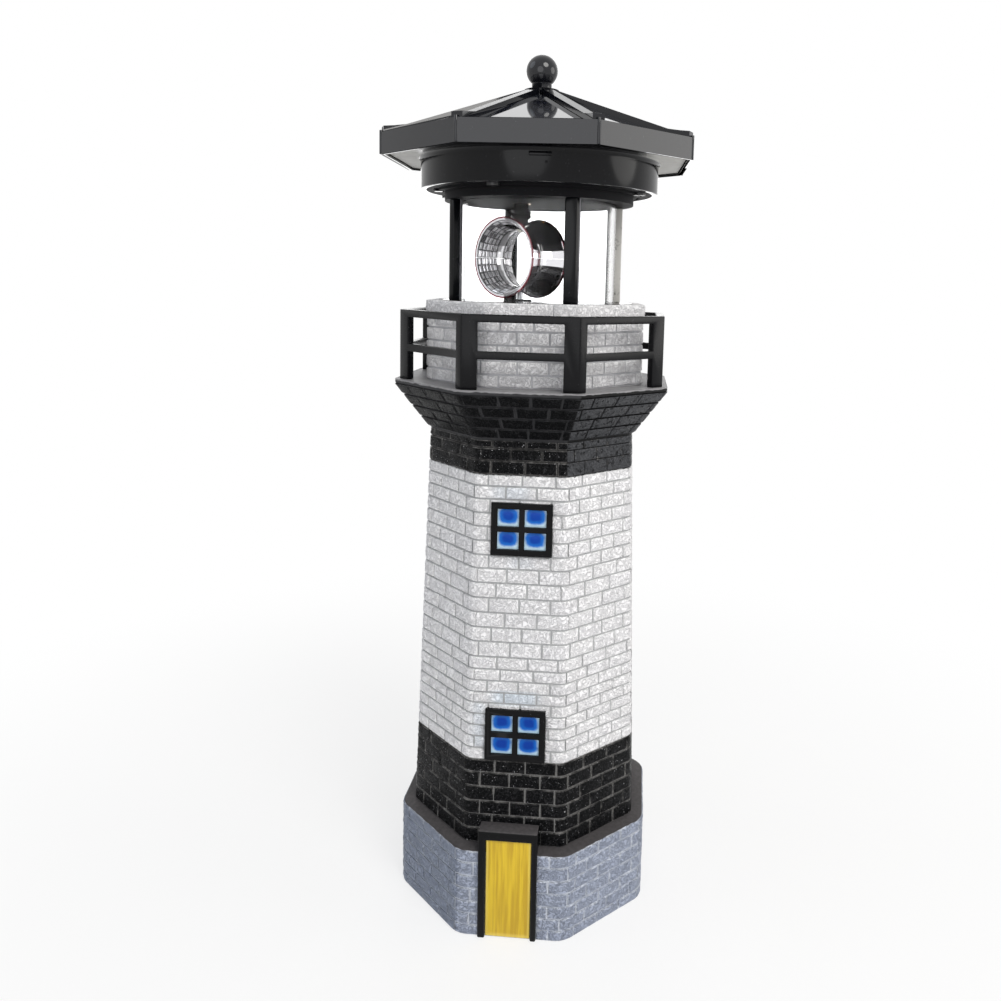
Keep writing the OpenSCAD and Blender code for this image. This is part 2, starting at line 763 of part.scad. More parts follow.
module gear_chassis() {
    color([0.88, 0.88, 0.86]) difference() {
        union() {
            round_bar(chassis_r, cover_top_z, chassis_top_z);
            for (s = [-1, 1]) translate([s * board_l / 3, board_y, 0])
                round_bar(board_standoff_r, cover_top_z, chassis_top_z + board_standoff_h);
        }
        translate([spindle_x, 0, 0])
            round_bar(led_stem_r + running_gap, cover_top_z - overrun, chassis_top_z + overrun);
        translate([motor_x, 0, 0])
            round_bar(pinion_hole_r, cover_top_z - overrun, chassis_top_z + overrun);
        at_angle(switch_angle, switch_ring_r)
            translate([-switch_body_l / 2 - fit_gap, -switch_body_w, cover_top_z - overrun])
                cube([switch_body_l + 2 * fit_gap, 2 * switch_body_w, chassis_t + 2 * overrun]);
    }
}

module gear_motor() {
    cap_share = 0.7;
    color([0.75, 0.76, 0.78]) difference() {
        translate([motor_x, 0, 0]) union() {
            round_bar(motor_r, chassis_top_z, chassis_top_z + motor_h);
            round_bar(motor_r * cap_share, chassis_top_z + motor_h, chassis_top_z + motor_h + motor_cap_t);
        }
        translate([motor_x, 0, 0])
            round_bar(pinion_shaft_r + running_gap, chassis_top_z - overrun, chassis_top_z + motor_bore_l);
    }
}

// Outline of a gear with straight-sided teeth, one of them on +X
module gear_outline(teeth) {
    pitch_r = tooth_module * teeth / 2;
    tip_r = pitch_r + tip_share * tooth_module;
    root_r = pitch_r - root_share * tooth_module;
    step = 360 / teeth;
    tip_half_share = 0.12;
    root_half_share = 0.3;
    polygon([for (k = [0 : teeth - 1]) for (p = [
            [root_r, -root_half_share],
            [tip_r, -tip_half_share],
            [tip_r, tip_half_share],
            [root_r, root_half_share]
        ]) p[0] * [cos((k + p[1]) * step), sin((k + p[1]) * step)]]);
}

module drive_gear() {
    color([0.93, 0.92, 0.88]) translate([spindle_x, 0, 0]) difference() {
        at_z(gear_low_z) linear_extrude(height = gear_t) gear_outline(gear_teeth);
        round_bar(sleeve_r + running_gap, gear_low_z - overrun, gear_top_z + overrun);
    }
}

// The pinion has a gap where the gear's tooth reaches it
module motor_pinion() {
    color([0.8, 0.68, 0.38]) translate([motor_x, 0, 0]) union() {
        at_z(gear_low_z) rotate([0, 0, 180 + 180 / pinion_teeth]) linear_extrude(height = gear_t)
            gear_outline(pinion_teeth);
        round_bar(pinion_shaft_r, gear_top_z, gear_top_z + pinion_shaft_l - gear_t);
    }
}

module battery_holder() {
    inner_l = cell_l + button_l + 2 * contact_t + 4 * fit_gap;
    length = inner_l + 2 * holder_wall;
    width = 2 * (cell_r + cell_side_gap + holder_wall);
    height = cell_floor_t + cell_r * holder_share;
    color([0.1, 0.1, 0.1]) translate([0, cell_y, 0]) difference() {
        translate([-length / 2, -width / 2, chassis_top_z]) cube([length, width, height]);
        translate([-inner_l / 2, 0, cell_z]) rotate([0, 90, 0])
            cylinder(r = cell_r + cell_side_gap, h = inner_l);
    }
}

module battery_cell() {
    color([0.2, 0.55, 0.3])
        translate([-(cell_l + button_l) / 2, cell_y, cell_z - cell_side_gap]) rotate([0, 90, 0]) union() {
            cylinder(r = cell_r, h = cell_l);
            cylinder(r = button_r, h = cell_l + button_l);
        }
}

module battery_contacts() {
    x = (cell_l + button_l) / 2 + fit_gap;
    low = cell_z - contact_w / 2;
    color([0.8, 0.8, 0.82]) for (s = [-1, 1])
        translate([s * (x + contact_t / 2) - contact_t / 2, cell_y - contact_w / 2, low])
            cube([contact_t, contact_w, contact_w]);
}

module circuit_board() {
    board_z = chassis_top_z + board_standoff_h;
    chip_share = 0.28;
    color([0.12, 0.4, 0.22]) union() {
        translate([-board_l / 2, board_y - board_w / 2, board_z]) cube([board_l, board_w, board_t]);
        translate([-board_l * chip_share, board_y - board_w * chip_share, board_z + board_t / 2])
            cube([board_l * chip_share, board_w * chip_share * 2, board_t / 2 + chip_t]);
        translate([board_l * chip_share, board_y, 0])
            round_bar(coil_r, board_z + board_t / 2, board_z + board_t + coil_h);
    }
}

module switch_body() {
    color([0.7, 0.71, 0.73]) at_angle(switch_angle, switch_ring_r)
        translate([-switch_body_l / 2, -switch_body_w / 2, cover_top_z])
            cube([switch_body_l, switch_body_w, switch_body_h]);
}

// The knob rests at the on end of its slot and slides to the off end
module switch_knob() {
    color([0.15, 0.15, 0.16]) at_angle(switch_angle, switch_ring_r)
        translate([-switch_slot_l / 2 + 2 * fit_gap, -switch_knob_w / 2, cover_top_z - switch_knob_h])
            cube([switch_knob_l, switch_knob_w, switch_knob_h]);
}

module spindle_bush() {
    color([0.82, 0.66, 0.32]) translate([spindle_x, 0, 0]) difference() {
        union() {
            round_bar(bush_r - running_gap, cover_low_z, floor_top_z);
            round_bar(bush_flange_r, floor_top_z, floor_top_z + bush_flange_t);
        }
        round_bar(sleeve_r + running_gap, cover_low_z - overrun, floor_top_z + bush_flange_t + overrun);
    }
}

module led_stem() {
    color([0.09, 0.09, 0.1]) translate([spindle_x, 0, 0]) union() {
        round_bar(led_stem_r, led_tip_z + led_h, chassis_top_z);
        round_bar(led_flange_r, chassis_top_z, chassis_top_z + led_flange_t);
    }
}

module led() {
    color([1, 0.97, 0.86]) translate([spindle_x, 0, 0]) intersection() {
        round_bar(led_r, led_tip_z, led_tip_z + led_h);
        union() {
            round_bar(led_r, led_tip_z + led_r, led_tip_z + led_h);
            at_z(led_tip_z + led_r) sphere(r = led_r);
        }
    }
}

// The turning reflector

// Radius of the inner wall at a share s of the half length, from the waist outwards
function throat_r(s) = reflector_waist_r + (reflector_throat_r - reflector_waist_r) * pow(abs(s), 1.6);

function throat_steps(t, half_l) =
    let (steps = 10)
    [for (k = [0:steps]) let (s = 2 * k / steps - 1) [throat_r(s) + t, s * half_l]];

// Half of the reflector as a solid block, on the +Z or the -Z side of its middle
module reflector_block(side) {
    half_l = reflector_l / 2;
    rotate([90 * side, 0, 0]) rotate_extrude(angle = 180)
        polygon(concat([[0, -half_l]], throat_steps(reflector_t, half_l), [[0, half_l]]));
}

module reflector_bore() {
    half_l = reflector_l / 2;
    rotate([90, 0, 0]) rotate_extrude() polygon(concat(
        [[0, -half_l - overrun], [reflector_throat_r, -half_l - overrun]],
        throat_steps(0, half_l),
        [[reflector_throat_r, half_l + overrun], [0, half_l + overrun]]
    ));
}

module reflector_place() {
    translate([spindle_x, 0, reflector_z]) rotate([0, 0, reflector_look]) children();
}

module reflector_upper() {
    boss_top = waist_top_z + sleeve_boss_h - reflector_z;
    color([0.78, 0.79, 0.82]) reflector_place() difference() {
        union() {
            reflector_block(1);
            round_bar(sleeve_boss_r, 0, boss_top);
        }
        reflector_bore();
        round_bar(sleeve_bore_r, 0, boss_top + overrun);
    }
}

module reflector_lower() {
    boss_low = pivot_top_z + pivot_gap - reflector_z;
    color([0.78, 0.79, 0.82]) reflector_place() difference() {
        union() {
            reflector_block(-1);
            round_bar(lower_boss_r, boss_low, 0);
        }
        reflector_bore();
        round_bar(pivot_pin_r + running_gap, boss_low - overrun, waist_low_z - reflector_z);
    }
}

module pivot_pin() {
    color([0.6, 0.61, 0.63]) translate([spindle_x, 0, 0])
        round_bar(pivot_pin_r, pivot_top_z - pin_depth + fit_gap, waist_low_z);
}

module spindle_sleeve() {
    color([0.09, 0.09, 0.1]) translate([spindle_x, 0, 0]) difference() {
        union() {
            round_bar(sleeve_r, waist_top_z + sleeve_boss_h, gear_top_z);
            round_bar(sleeve_head_r, gear_top_z, gear_top_z + sleeve_head_t);
        }
        round_bar(sleeve_bore_r, waist_top_z, gear_top_z + sleeve_head_t + overrun);
    }
}

plinth();
shaft();
gallery();
brick_drum();
gallery_railing();
door_frame();
door_leaf();
window_frame(upper_window_x, upper_window_z);  // upper_window_frame
window_frame(lower_window_x, lower_window_z);  // lower_window_frame
for (i = [1:4]) {
    window_pane(upper_window_x, upper_window_z, i);
    window_pane(lower_window_x, lower_window_z, i);
    lantern_post(i);
}
bottom_plug();
foot_pads();
lantern_foot();
clear_lens();
underside_cover();
cover_screws();
lower_housing();
roof_shell();
for (i = [1:8]) {
    solar_panel(i);
}
finial();
finial_nut();
gear_chassis();
gear_motor();
battery_holder();
battery_cell();
battery_contacts();
circuit_board();
switch_body();
spindle_bush();
led_stem();
led();
spindle_sleeve();
drive_gear();
reflector_upper();
reflector_lower();
pivot_pin();
motor_pinion();
switch_knob();
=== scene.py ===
# %% [markdown]
# This lesson dresses a garden lighthouse ornament: an octagonal tower of cast, painted
# bricks with a solar lamp head on top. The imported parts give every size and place, and
# they are loaded first, because everything that is modelled here sits on them.

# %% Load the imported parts
import json
import math
import random
import bmesh
import bpy
from mathutils import Matrix, Vector, noise


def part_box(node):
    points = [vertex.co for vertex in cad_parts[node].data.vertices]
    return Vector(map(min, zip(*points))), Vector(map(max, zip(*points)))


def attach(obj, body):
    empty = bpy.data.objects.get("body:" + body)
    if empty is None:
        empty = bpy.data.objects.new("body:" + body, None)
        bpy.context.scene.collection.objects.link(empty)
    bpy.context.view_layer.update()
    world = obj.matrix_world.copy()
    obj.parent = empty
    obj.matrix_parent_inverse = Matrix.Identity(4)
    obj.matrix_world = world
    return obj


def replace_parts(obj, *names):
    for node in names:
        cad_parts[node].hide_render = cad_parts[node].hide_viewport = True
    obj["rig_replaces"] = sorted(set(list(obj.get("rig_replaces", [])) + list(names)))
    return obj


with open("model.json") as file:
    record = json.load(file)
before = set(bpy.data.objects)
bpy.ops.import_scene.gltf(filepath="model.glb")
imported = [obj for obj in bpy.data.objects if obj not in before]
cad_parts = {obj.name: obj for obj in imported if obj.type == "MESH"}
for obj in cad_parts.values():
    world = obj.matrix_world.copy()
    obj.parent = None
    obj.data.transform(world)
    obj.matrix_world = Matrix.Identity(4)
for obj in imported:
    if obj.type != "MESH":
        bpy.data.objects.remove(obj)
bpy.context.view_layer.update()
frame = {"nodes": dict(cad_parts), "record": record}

mm = 0.001

# %% [markdown]
# The photograph was taken by hand from a little above the lantern, close to the object,
# so the tower narrows towards its foot. The camera is set to that place. It is aimed by
# three turns: round the upright, then the tilt, then the small roll of the hand.
# A lens shift stands in for the way the picture was cropped.

# %% Camera
camera_place = Vector((33.32, -295.52, 204.18)) * mm
camera_aim, camera_tilt, camera_roll = (math.radians(a) for a in (4.458, 83.042, 1.430))
camera_data = bpy.data.cameras.new("camera")
camera_data.sensor_width = 36.0
camera_data.lens = 32.153
camera_data.shift_x = -0.06555
camera_data.shift_y = -0.10966
camera_data.clip_start = 0.01
camera = bpy.data.objects.new("camera", camera_data)
bpy.context.scene.collection.objects.link(camera)
camera.matrix_world = (
    Matrix.Translation(camera_place)
    @ Matrix.Rotation(camera_aim, 4, "Z")
    @ Matrix.Rotation(camera_tilt, 4, "X")
    @ Matrix.Rotation(camera_roll, 4, "Z")
)
bpy.context.scene.camera = camera
print("camera to the foot in mm:", round(camera_place.length / mm))

# %% [markdown]
# Materials are built from nodes. They could be wired one by one, but the same few steps
# come back in every paint, so each step gets a short name. A helper adds a node and fills
# its sockets: a value goes onto the socket, and another node's output is linked to it.
# Colours are written as they look on a screen, from 0 to 255, and turned into the light
# values that the shader needs.

# %% Colours and sockets
def screen(red, green, blue):
    def light(value):
        share = value / 255
        return share / 12.92 if share <= 0.04045 else ((share + 0.055) / 1.055) ** 2.4
    return (light(red), light(green), light(blue), 1.0)


def fill(tree, socket, value):
    if isinstance(value, bpy.types.NodeSocket):
        tree.links.new(value, socket)
    else:
        socket.default_value = value


def add(tree, kind, sockets, **settings):
    node = tree.nodes.new(kind)
    for name, value in settings.items():
        setattr(node, name, value)
    for key, value in sockets.items():
        fill(tree, node.inputs[key], value)
    return node


def set_inputs(shader, values):
    for name, value in values.items():
        shader.inputs[name].default_value = value


def set_colour(tree, shader, colour):
    tree.links.new(colour, shader.inputs["Base Color"])


print("a screen grey of 128 is a light value of", round(screen(128, 128, 128)[0], 3))

# %% Short names for nodes
def sums(tree, operation, a, b=0.0, c=0.0):
    return add(tree, "ShaderNodeMath", {0: a, 1: b, 2: c}, operation=operation).outputs[0]


def times(tree, a, b):
    return sums(tree, "MULTIPLY", a, b)


def distance_to(tree, value, middle):
    return sums(tree, "ABSOLUTE", sums(tree, "SUBTRACT", value, middle))


def blend(tree, share, a, b):
    return add(tree, "ShaderNodeMix", {0: share, 6: a, 7: b}, data_type="RGBA").outputs[2]


def between(tree, share, low, high):
    return add(tree, "ShaderNodeMapRange", {0: share, 3: low, 4: high}).outputs[0]


def step_up(tree, value, low, high):
    sockets = {0: value, 1: low, 2: high}
    return add(tree, "ShaderNodeMapRange", sockets, interpolation_type="SMOOTHSTEP").outputs[0]


def speckle(tree, place, scale, detail=2.0, stretch=(1, 1, 1)):
    mapped = add(tree, "ShaderNodeMapping", {"Vector": place, "Scale": stretch})
    sockets = {"Vector": mapped.outputs[0], "Scale": scale, "Detail": detail}
    return add(tree, "ShaderNodeTexNoise", sockets).outputs[0]


def axes_of(tree, place):
    return add(tree, "ShaderNodeSeparateXYZ", {0: place}).outputs


def new_material(name):
    material = bpy.data.materials.new(name)
    material.use_nodes = True
    tree = material.node_tree
    place = add(tree, "ShaderNodeTexCoord", {}).outputs["Object"]
    return material, tree, tree.nodes["Principled BSDF"], place


def rough_surface(tree, shader, height, strength, distance):
    bump = add(tree, "ShaderNodeBump", {"Strength": strength, "Distance": distance, "Height": height})
    tree.links.new(bump.outputs[0], shader.inputs["Normal"])


print("every pattern is placed by the object's own coordinates, in metres")

# %% [markdown]
# Many colours change at a level, such as the line where white paint meets black. A level
# is given in millimetres, like the shapes, with half the width over which it changes. A
# width below zero turns the change round, so the share falls on the way up. Paint lines
# are never straight, so the height is also offered with a little noise added to it.

# %% Levels in millimetres
def step_at(tree, value, level, soft):
    return step_up(tree, value, (level - soft) * mm, (level + soft) * mm)


def band_share(tree, value, low, high, soft):
    up, down = step_at(tree, value, low, soft), step_at(tree, value, high, soft)
    return sums(tree, "SUBTRACT", up, down)


def wavy_height(tree, place, scale, detail, swing):
    height = axes_of(tree, place)[2]
    return sums(tree, "MULTIPLY_ADD", speckle(tree, place, scale, detail), swing * mm, height)


print("one millimetre on the object is", mm, "in a material")

# %% [markdown]
# The studio is plain: a pale floor that keeps the shadow, a soft sky and five large round
# lamps. The picture has a white background. More light would make it white too, but would
# wash out the object, so the sky is white only where the camera, a mirror or the clear
# lens looks at it, and much dimmer where it lights the object. The floor does the same,
# and keeps its shadow near the object.

# %% Sky
def seen_directly(tree):
    path = add(tree, "ShaderNodeLightPath", {})
    mirror = sums(tree, "MAXIMUM", path.outputs["Is Glossy Ray"], path.outputs["Is Transmission Ray"])
    return sums(tree, "MAXIMUM", path.outputs["Is Camera Ray"], mirror)


sky_light = 0.36
plain_white = (1.0, 1.0, 1.0, 1.0)
world = bpy.data.worlds.new("sky")
world.use_nodes = True
sky = world.node_tree
white_share = between(sky, seen_directly(sky), sky_light, 1.0)
sky.links.new(white_share, sky.nodes["Background"].inputs["Strength"])
sky.nodes["Background"].inputs["Color"].default_value = plain_white
bpy.context.scene.world = world
bpy.context.scene.view_settings.view_transform = "Standard"
print("the sky lights the object with a share of", sky_light)

# %% Floor
floor_size = 6.0
floor_bm = bmesh.new()
bmesh.ops.create_grid(floor_bm, x_segments=1, y_segments=1, size=floor_size)
floor_mesh = bpy.data.meshes.new("floor")
floor_bm.to_mesh(floor_mesh)
floor_bm.free()
floor = bpy.data.objects.new("floor", floor_mesh)
bpy.context.scene.collection.objects.link(floor)

shadow_near, shadow_far, near_white = 0.06, 0.34, 0.72
floor_material, tree, shader, place = new_material("studio_floor")
floor_tone = speckle(tree, place, 30.0, 3.0)
set_colour(tree, shader, blend(tree, floor_tone, screen(250, 250, 250), screen(246, 246, 246)))
set_inputs(shader, {"Roughness": 0.9, "Specular IOR Level": 0.1})
far_off = add(tree, "ShaderNodeVectorMath", {0: place}, operation="LENGTH").outputs["Value"]
far_share = between(tree, step_up(tree, far_off, shadow_near, shadow_far), near_white, 1.0)
backdrop_share = times(tree, far_share, seen_directly(tree))
backdrop = add(tree, "ShaderNodeEmission", {"Color": plain_white, "Strength": 1.0})
sockets = {0: backdrop_share, 1: shader.outputs[0], 2: backdrop.outputs[0]}
blended = add(tree, "ShaderNodeMixShader", sockets)
tree.links.new(blended.outputs[0], tree.nodes["Material Output"].inputs["Surface"])
floor_mesh.materials.append(floor_material)
print("the floor is wholly white from", round(shadow_far / mm), "mm outwards")

# %% [markdown]
# Each lamp has a place in metres, a width in metres, a power and a colour. The strongest
# stands to the front right, as the shadows in the photograph ask for. The lamps are
# discs, because a square lamp would show as a square in the ball on the roof.

# %% Lamps
lamp_table = {
    "key_front": ((0.42, -0.55, 0.78), 0.50, 4.8, (1.0, 0.985, 0.955)),
    "side_right": ((0.95, 0.00, 0.36), 0.60, 2.2, (1.0, 0.985, 0.955)),
    "fill_left": ((-0.75, -0.15, 0.75), 0.60, 1.1, (0.80, 0.89, 1.0)),
    "front_soft": ((-0.10, -0.95, 0.30), 0.75, 2.1, (0.97, 0.98, 1.0)),
    "back_soft": ((-0.15, 0.95, 0.30), 0.70, 2.0, (1.0, 1.0, 1.0)),
}
aim_point = Vector((0.0, 0.0, 0.13))
for lamp_name, (lamp_place, lamp_width, lamp_power, lamp_colour) in lamp_table.items():
    lamp_data = bpy.data.lights.new(lamp_name, "AREA")
    lamp_data.shape = "DISK"
    lamp_data.size = lamp_width
    lamp_data.energy = lamp_power
    lamp_data.color = lamp_colour
    lamp = bpy.data.objects.new(lamp_name, lamp_data)
    lamp.location = lamp_place
    lamp.rotation_euler = (aim_point - Vector(lamp_place)).to_track_quat("-Z", "Y").to_euler()
    bpy.context.scene.collection.objects.link(lamp)
print("lamps:", ", ".join(lamp_table))

# %% [markdown]
# The modelling is done in millimetres, because small numbers of metres make the cutting
# tools clumsy, and the last step scales the mesh. A part whose shape is right but too
# sharp is copied: its loose triangles are merged, flat faces are joined again, and its
# edges are rounded. A modifier could round them too, but an operator leaves a finished
# mesh that can be worked on further.

# %% Finish a piece
made_pieces = []


def finish_piece(name, bm, body, material, slot, replaces=(), crease=40):
    bmesh.ops.scale(bm, vec=(mm, mm, mm), verts=bm.verts)
    mesh = bpy.data.meshes.new(name)
    bm.to_mesh(mesh)
    bm.free()
    mesh.shade_smooth()
    mesh.set_sharp_from_angle(angle=math.radians(crease))
    mesh.materials.append(material)
    piece = bpy.data.objects.new(name, mesh)
    bpy.context.scene.collection.objects.link(piece)
    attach(piece, body)
    if replaces:
        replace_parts(piece, *replaces)
    made_pieces.append(piece)
    print(name, "faces:", len(mesh.polygons))
    return piece


print("pieces finished so far:", len(made_pieces))

# %% Copy, turn and round
weld_gap, flat_angle = 0.003, math.radians(0.8)


def box_mm(node):
    low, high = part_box(node)
    return low / mm, high / mm


def copy_of(node):
    bm = bmesh.new()
    bm.from_mesh(frame["nodes"][node].data)
    bmesh.ops.scale(bm, vec=(1 / mm, 1 / mm, 1 / mm), verts=bm.verts)
    bmesh.ops.remove_doubles(bm, verts=bm.verts, dist=weld_gap)
    bmesh.ops.dissolve_limit(bm, angle_limit=flat_angle, verts=bm.verts, edges=bm.edges)
    return bm


def move_mesh(bm, way):
    bmesh.ops.translate(bm, vec=way, verts=bm.verts)


def turn_mesh(bm, angle, axis):
    bmesh.ops.rotate(bm, cent=(0, 0, 0), matrix=Matrix.Rotation(angle, 3, axis), verts=bm.verts)


def pour_into(whole, part):
    mesh = bpy.data.meshes.new("part")
    part.to_mesh(mesh)
    part.free()
    whole.from_mesh(mesh)
    bpy.data.meshes.remove(mesh)


def round_edges(bm, edges, width, segments=2):
    bmesh.ops.bevel(
        bm, geom=list(edges), offset=width, offset_type="OFFSET", segments=segments,
        profile=0.5, affect="EDGES", material=-1, clamp_overlap=True,
    )


def sharp_edges(bm, angle=30):
    limit = math.radians(angle)
    return [e for e in bm.edges if len(e.link_faces) == 2 and e.calc_face_angle(0) > limit]


print("foot of the tower in mm:", [round(c, 1) for c in box_mm("plinth")[1]])

# %% [markdown]
# The tower is cast resin. Its mortar is one smooth surface, and the bricks stand about a
# third of a millimetre proud of it. Both could be a pattern in the material alone, but
# then the outline would stay dead straight. So the four castings are copies of the real
# parts with their long outer edges rounded, and the bricks are separate raised blocks on
# top, and light catches real edges from every side.

# %% Round the castings
octagon_corner = 22.5
corner_factor = 1 / math.cos(math.radians(octagon_corner))
upright_share = 0.6


def outer_arrises(bm, least_radius):
    def is_arris(edge):
        a, b = (v.co for v in edge.verts)
        upright = abs((b - a).normalized().z) > upright_share
        return min(a.xy.length, b.xy.length) > least_radius and upright
    return [e for e in bm.edges if is_arris(e)]


def casting(node, least_radius, arris):
    bm = copy_of(node)
    round_edges(bm, outer_arrises(bm, least_radius), arris, 3)
    return bm


plinth_arris, shaft_arris = 2.6, 1.4
casting_meshes = {
    "plinth": casting("plinth", 39.0, plinth_arris),
    "shaft": casting("shaft", 33.8, shaft_arris),
    "gallery": casting("gallery", 34.0, shaft_arris),
    "brick_drum": casting("brick_drum", 35.8, shaft_arris),
}
print({name: len(bm.faces) for name, bm in casting_meshes.items()})

# %% [markdown]
# A course of bricks could be set from single blocks, but those would not run round the
# corners. Here it starts as an octagonal band of wall. Upright planes cut it at the
# joints, the pieces are parted there, each is drawn in by half a joint, and then it is
# raised. A brick that meets a corner of the tower runs round it, as on the real casting.

# %% Cut a band of wall
bury, snap, thirds = 0.12, 1e-4, (1 / 3, 2 / 3)


def octagon_wall(low, high, half_low, half_high, arris, turn):
    bm = bmesh.new()
    bmesh.ops.create_circle(bm, cap_ends=True, segments=8, radius=half_low * corner_factor)
    turn_mesh(bm, math.radians(octagon_corner + turn), "Z")
    bmesh.ops.bevel(
        bm, geom=bm.verts[:], offset=arris, offset_type="OFFSET", segments=3,
        profile=0.5, affect="VERTICES", material=-1,
    )
    bmesh.ops.delete(bm, geom=bm.faces[:], context="FACES_ONLY")
    move_mesh(bm, (0, 0, low))
    grown = bmesh.ops.extrude_edge_only(bm, edges=bm.edges[:])["geom"]
    top = [g for g in grown if isinstance(g, bmesh.types.BMVert)]
    ratio = half_high / half_low
    bmesh.ops.scale(bm, vec=(ratio, ratio, 1), verts=top)
    bmesh.ops.translate(bm, vec=(0, 0, high - low), verts=top)
    return bm


def cut_faces(bm, faces, point, normal):
    edges = {e for f in faces for e in f.edges}
    verts = {v for f in faces for v in f.verts}
    cut = bmesh.ops.bisect_plane(
        bm, geom=faces + list(edges) + list(verts), dist=snap, plane_co=point, plane_no=normal,
    )["geom_cut"]
    return [g for g in cut if isinstance(g, bmesh.types.BMEdge)]


def cut_upright(bm, angle):
    a = math.radians(angle)
    outward = Vector((math.sin(a), -math.cos(a), 0))
    faces = [f for f in bm.faces if f.calc_center_median().dot(outward) > 0]
    return cut_faces(bm, faces, (0, 0, 0), (math.cos(a), math.sin(a), 0))


def cut_opening(bm, left, right):
    for x in (left, right):
        cut_faces(bm, [f for f in bm.faces if f.calc_center_median().y < 0], (x, 0, 0), (1, 0, 0))
    inside = [
        f for f in bm.faces
        if f.calc_center_median().y < 0 and left < f.calc_center_median().x < right
    ]
    bmesh.ops.delete(bm, geom=inside, context="FACES")


print("bricks sink", bury, "mm into the wall")

# %% [markdown]
# The joints of a course are told off along its length, one brick after the other, with a
# little scatter. A joint keeps clear of the corners, because the real bricks wrap round
# them.

# %% Place the joints
corner_clear = 1.3


def side_of(half):
    return 2 * half * math.tan(math.radians(octagon_corner))


def joint_angle(run, half, turn):
    side = side_of(half)
    facet = round(run / side)
    across = run - facet * side
    if side / 2 - abs(across) < corner_clear:
        across = math.copysign(side / 2 - corner_clear, across)
    return turn + 45 * facet + math.degrees(math.atan2(across, half))


def joint_runs(half, first, length, uneven, draw):
    total = 8 * side_of(half)
    count = round(total / length)
    return [first + total * k / count + draw.uniform(-uneven, uneven) for k in range(count)]


print("joints keep", corner_clear, "mm clear of the corners")

# %% [markdown]
# Raising a brick takes two insets: the first opens the joint, and the second gives the
# raised face a sloping rim. The inner points are then lifted unevenly, so the face is
# dented like split stone. Every point notes whether it lies on the rim, and every brick
# gets a shade of its own, for the paint to read. Now and then an inset throws a point far
# out where cuts lie close together, and such a point goes back between its neighbours.
# The bricks come out of a set, which has no order, so which brick draws which shade may
# change from one run to the next.

# %% Raise the bricks
stray_share = 0.5


def islands(bm):
    left = set(bm.verts)
    while left:
        island, edge_of = [], [left.pop()]
        while edge_of:
            v = edge_of.pop()
            island.append(v)
            near = {e.other_vert(v) for e in v.link_edges} & left
            left -= near
            edge_of += near
        yield island


def middle_of(points):
    return sum(points, Vector()) / len(points)


def draw_back_strays(verts, reach):
    for v in verts:
        middle = middle_of([e.other_vert(v).co for e in v.link_edges])
        if (v.co - middle).length > reach:
            v.co = middle
            print("a stray point drawn back at height", round(middle.z, 1))


def inset_even(bm, faces, thickness):
    return bmesh.ops.inset_region(
        bm, faces=faces, thickness=thickness, use_boundary=True,
        use_even_offset=True, use_interpolate=True,
    )["faces"]


def raise_bricks(bm, half, shape, draw):
    edge = bm.verts.layers.float.new("edge")
    tone = bm.verts.layers.float.new("tone")
    joint = inset_even(bm, bm.faces[:], shape["gap"] / 2)
    bmesh.ops.delete(bm, geom=joint, context="FACES")
    raised = bmesh.ops.extrude_face_region(bm, geom=bm.faces[:], use_keep_orig=True)["geom"]
    faces = [g for g in raised if isinstance(g, bmesh.types.BMFace)]
    top = [g for g in raised if isinstance(g, bmesh.types.BMVert)]
    grow = 1 + (bury + shape["rise"]) / half
    bmesh.ops.scale(bm, vec=(grow, grow, 1), verts=top)
    inset_even(bm, faces, shape["soft"])
    crown = {v for f in faces for v in f.verts}
    draw_back_strays(crown, shape["length"] * stray_share)
    for v in crown:
        lump = noise.noise(v.co * shape["lump_scale"]) * shape["lump"]
        v.co.xy *= 1 + (shape["crown"] + lump) / half
    for v in bm.verts:
        v[edge] = 0.0 if v in crown else 1.0
    for island in islands(bm):
        shade = draw.random()
        for v in island:
            v[tone] = shade
    bmesh.ops.recalc_face_normals(bm, faces=bm.faces[:])


print("a point goes back when it is", stray_share, "of a brick's length out")

# %% Lay a course and a band of courses
first_scatter, level_slack = 0.4, 0.3


def lay_course(band, low, high, half_low, half_high, first, shape, draw, turn=0.0, opening=None):
    bm = octagon_wall(low, high, half_low - bury, half_high - bury, shape["arris"], turn)
    for share in thirds:
        cut_faces(bm, bm.faces[:], (0, 0, low + (high - low) * share), (0, 0, 1))
    half = (half_low + half_high) / 2
    runs = sorted(joint_runs(half, first, shape["length"], shape["uneven"], draw))
    joints = [joint_angle(run, half, turn) for run in runs]
    parted = [e for angle in joints for e in cut_upright(bm, angle)]
    bmesh.ops.split_edges(bm, edges=list(set(parted)))
    for a, b in zip(joints, joints[1:] + [joints[0] + 360]):
        for share in thirds:
            cut_upright(bm, a + (b - a) * share)
    if opening:
        cut_opening(bm, *opening)
    raise_bricks(bm, half, shape, draw)
    pour_into(band, bm)


def lay_band(levels, halves, firsts, shape, seed, turn=0.0, openings=()):
    band = bmesh.new()
    draw = random.Random(seed)
    for k, (low, high) in enumerate(zip(levels, levels[1:])):
        first = firsts[k % len(firsts)] + draw.uniform(-first_scatter, first_scatter)
        opening = None
        for z0, z1, left, right in openings:
            if low >= z0 - level_slack and high <= z1 + level_slack:
                opening = (left, right)
        lay_course(band, low, high, halves(low), halves(high), first, shape, draw, turn, opening)
    print("courses:", len(levels) - 1, "faces:", len(band.faces))
    return band


print("the first joint of a course scatters by up to", first_scatter, "mm")

# %% [markdown]
# The course heights and the first joint of each course were read off the photograph and
# are written here in millimetres. They are uneven, because the master was carved by
# hand. A band has the levels of its courses, the wall's half width at each height, the
# first joints, the brick's shape and a seed. The plinth's bricks stop beside the door.

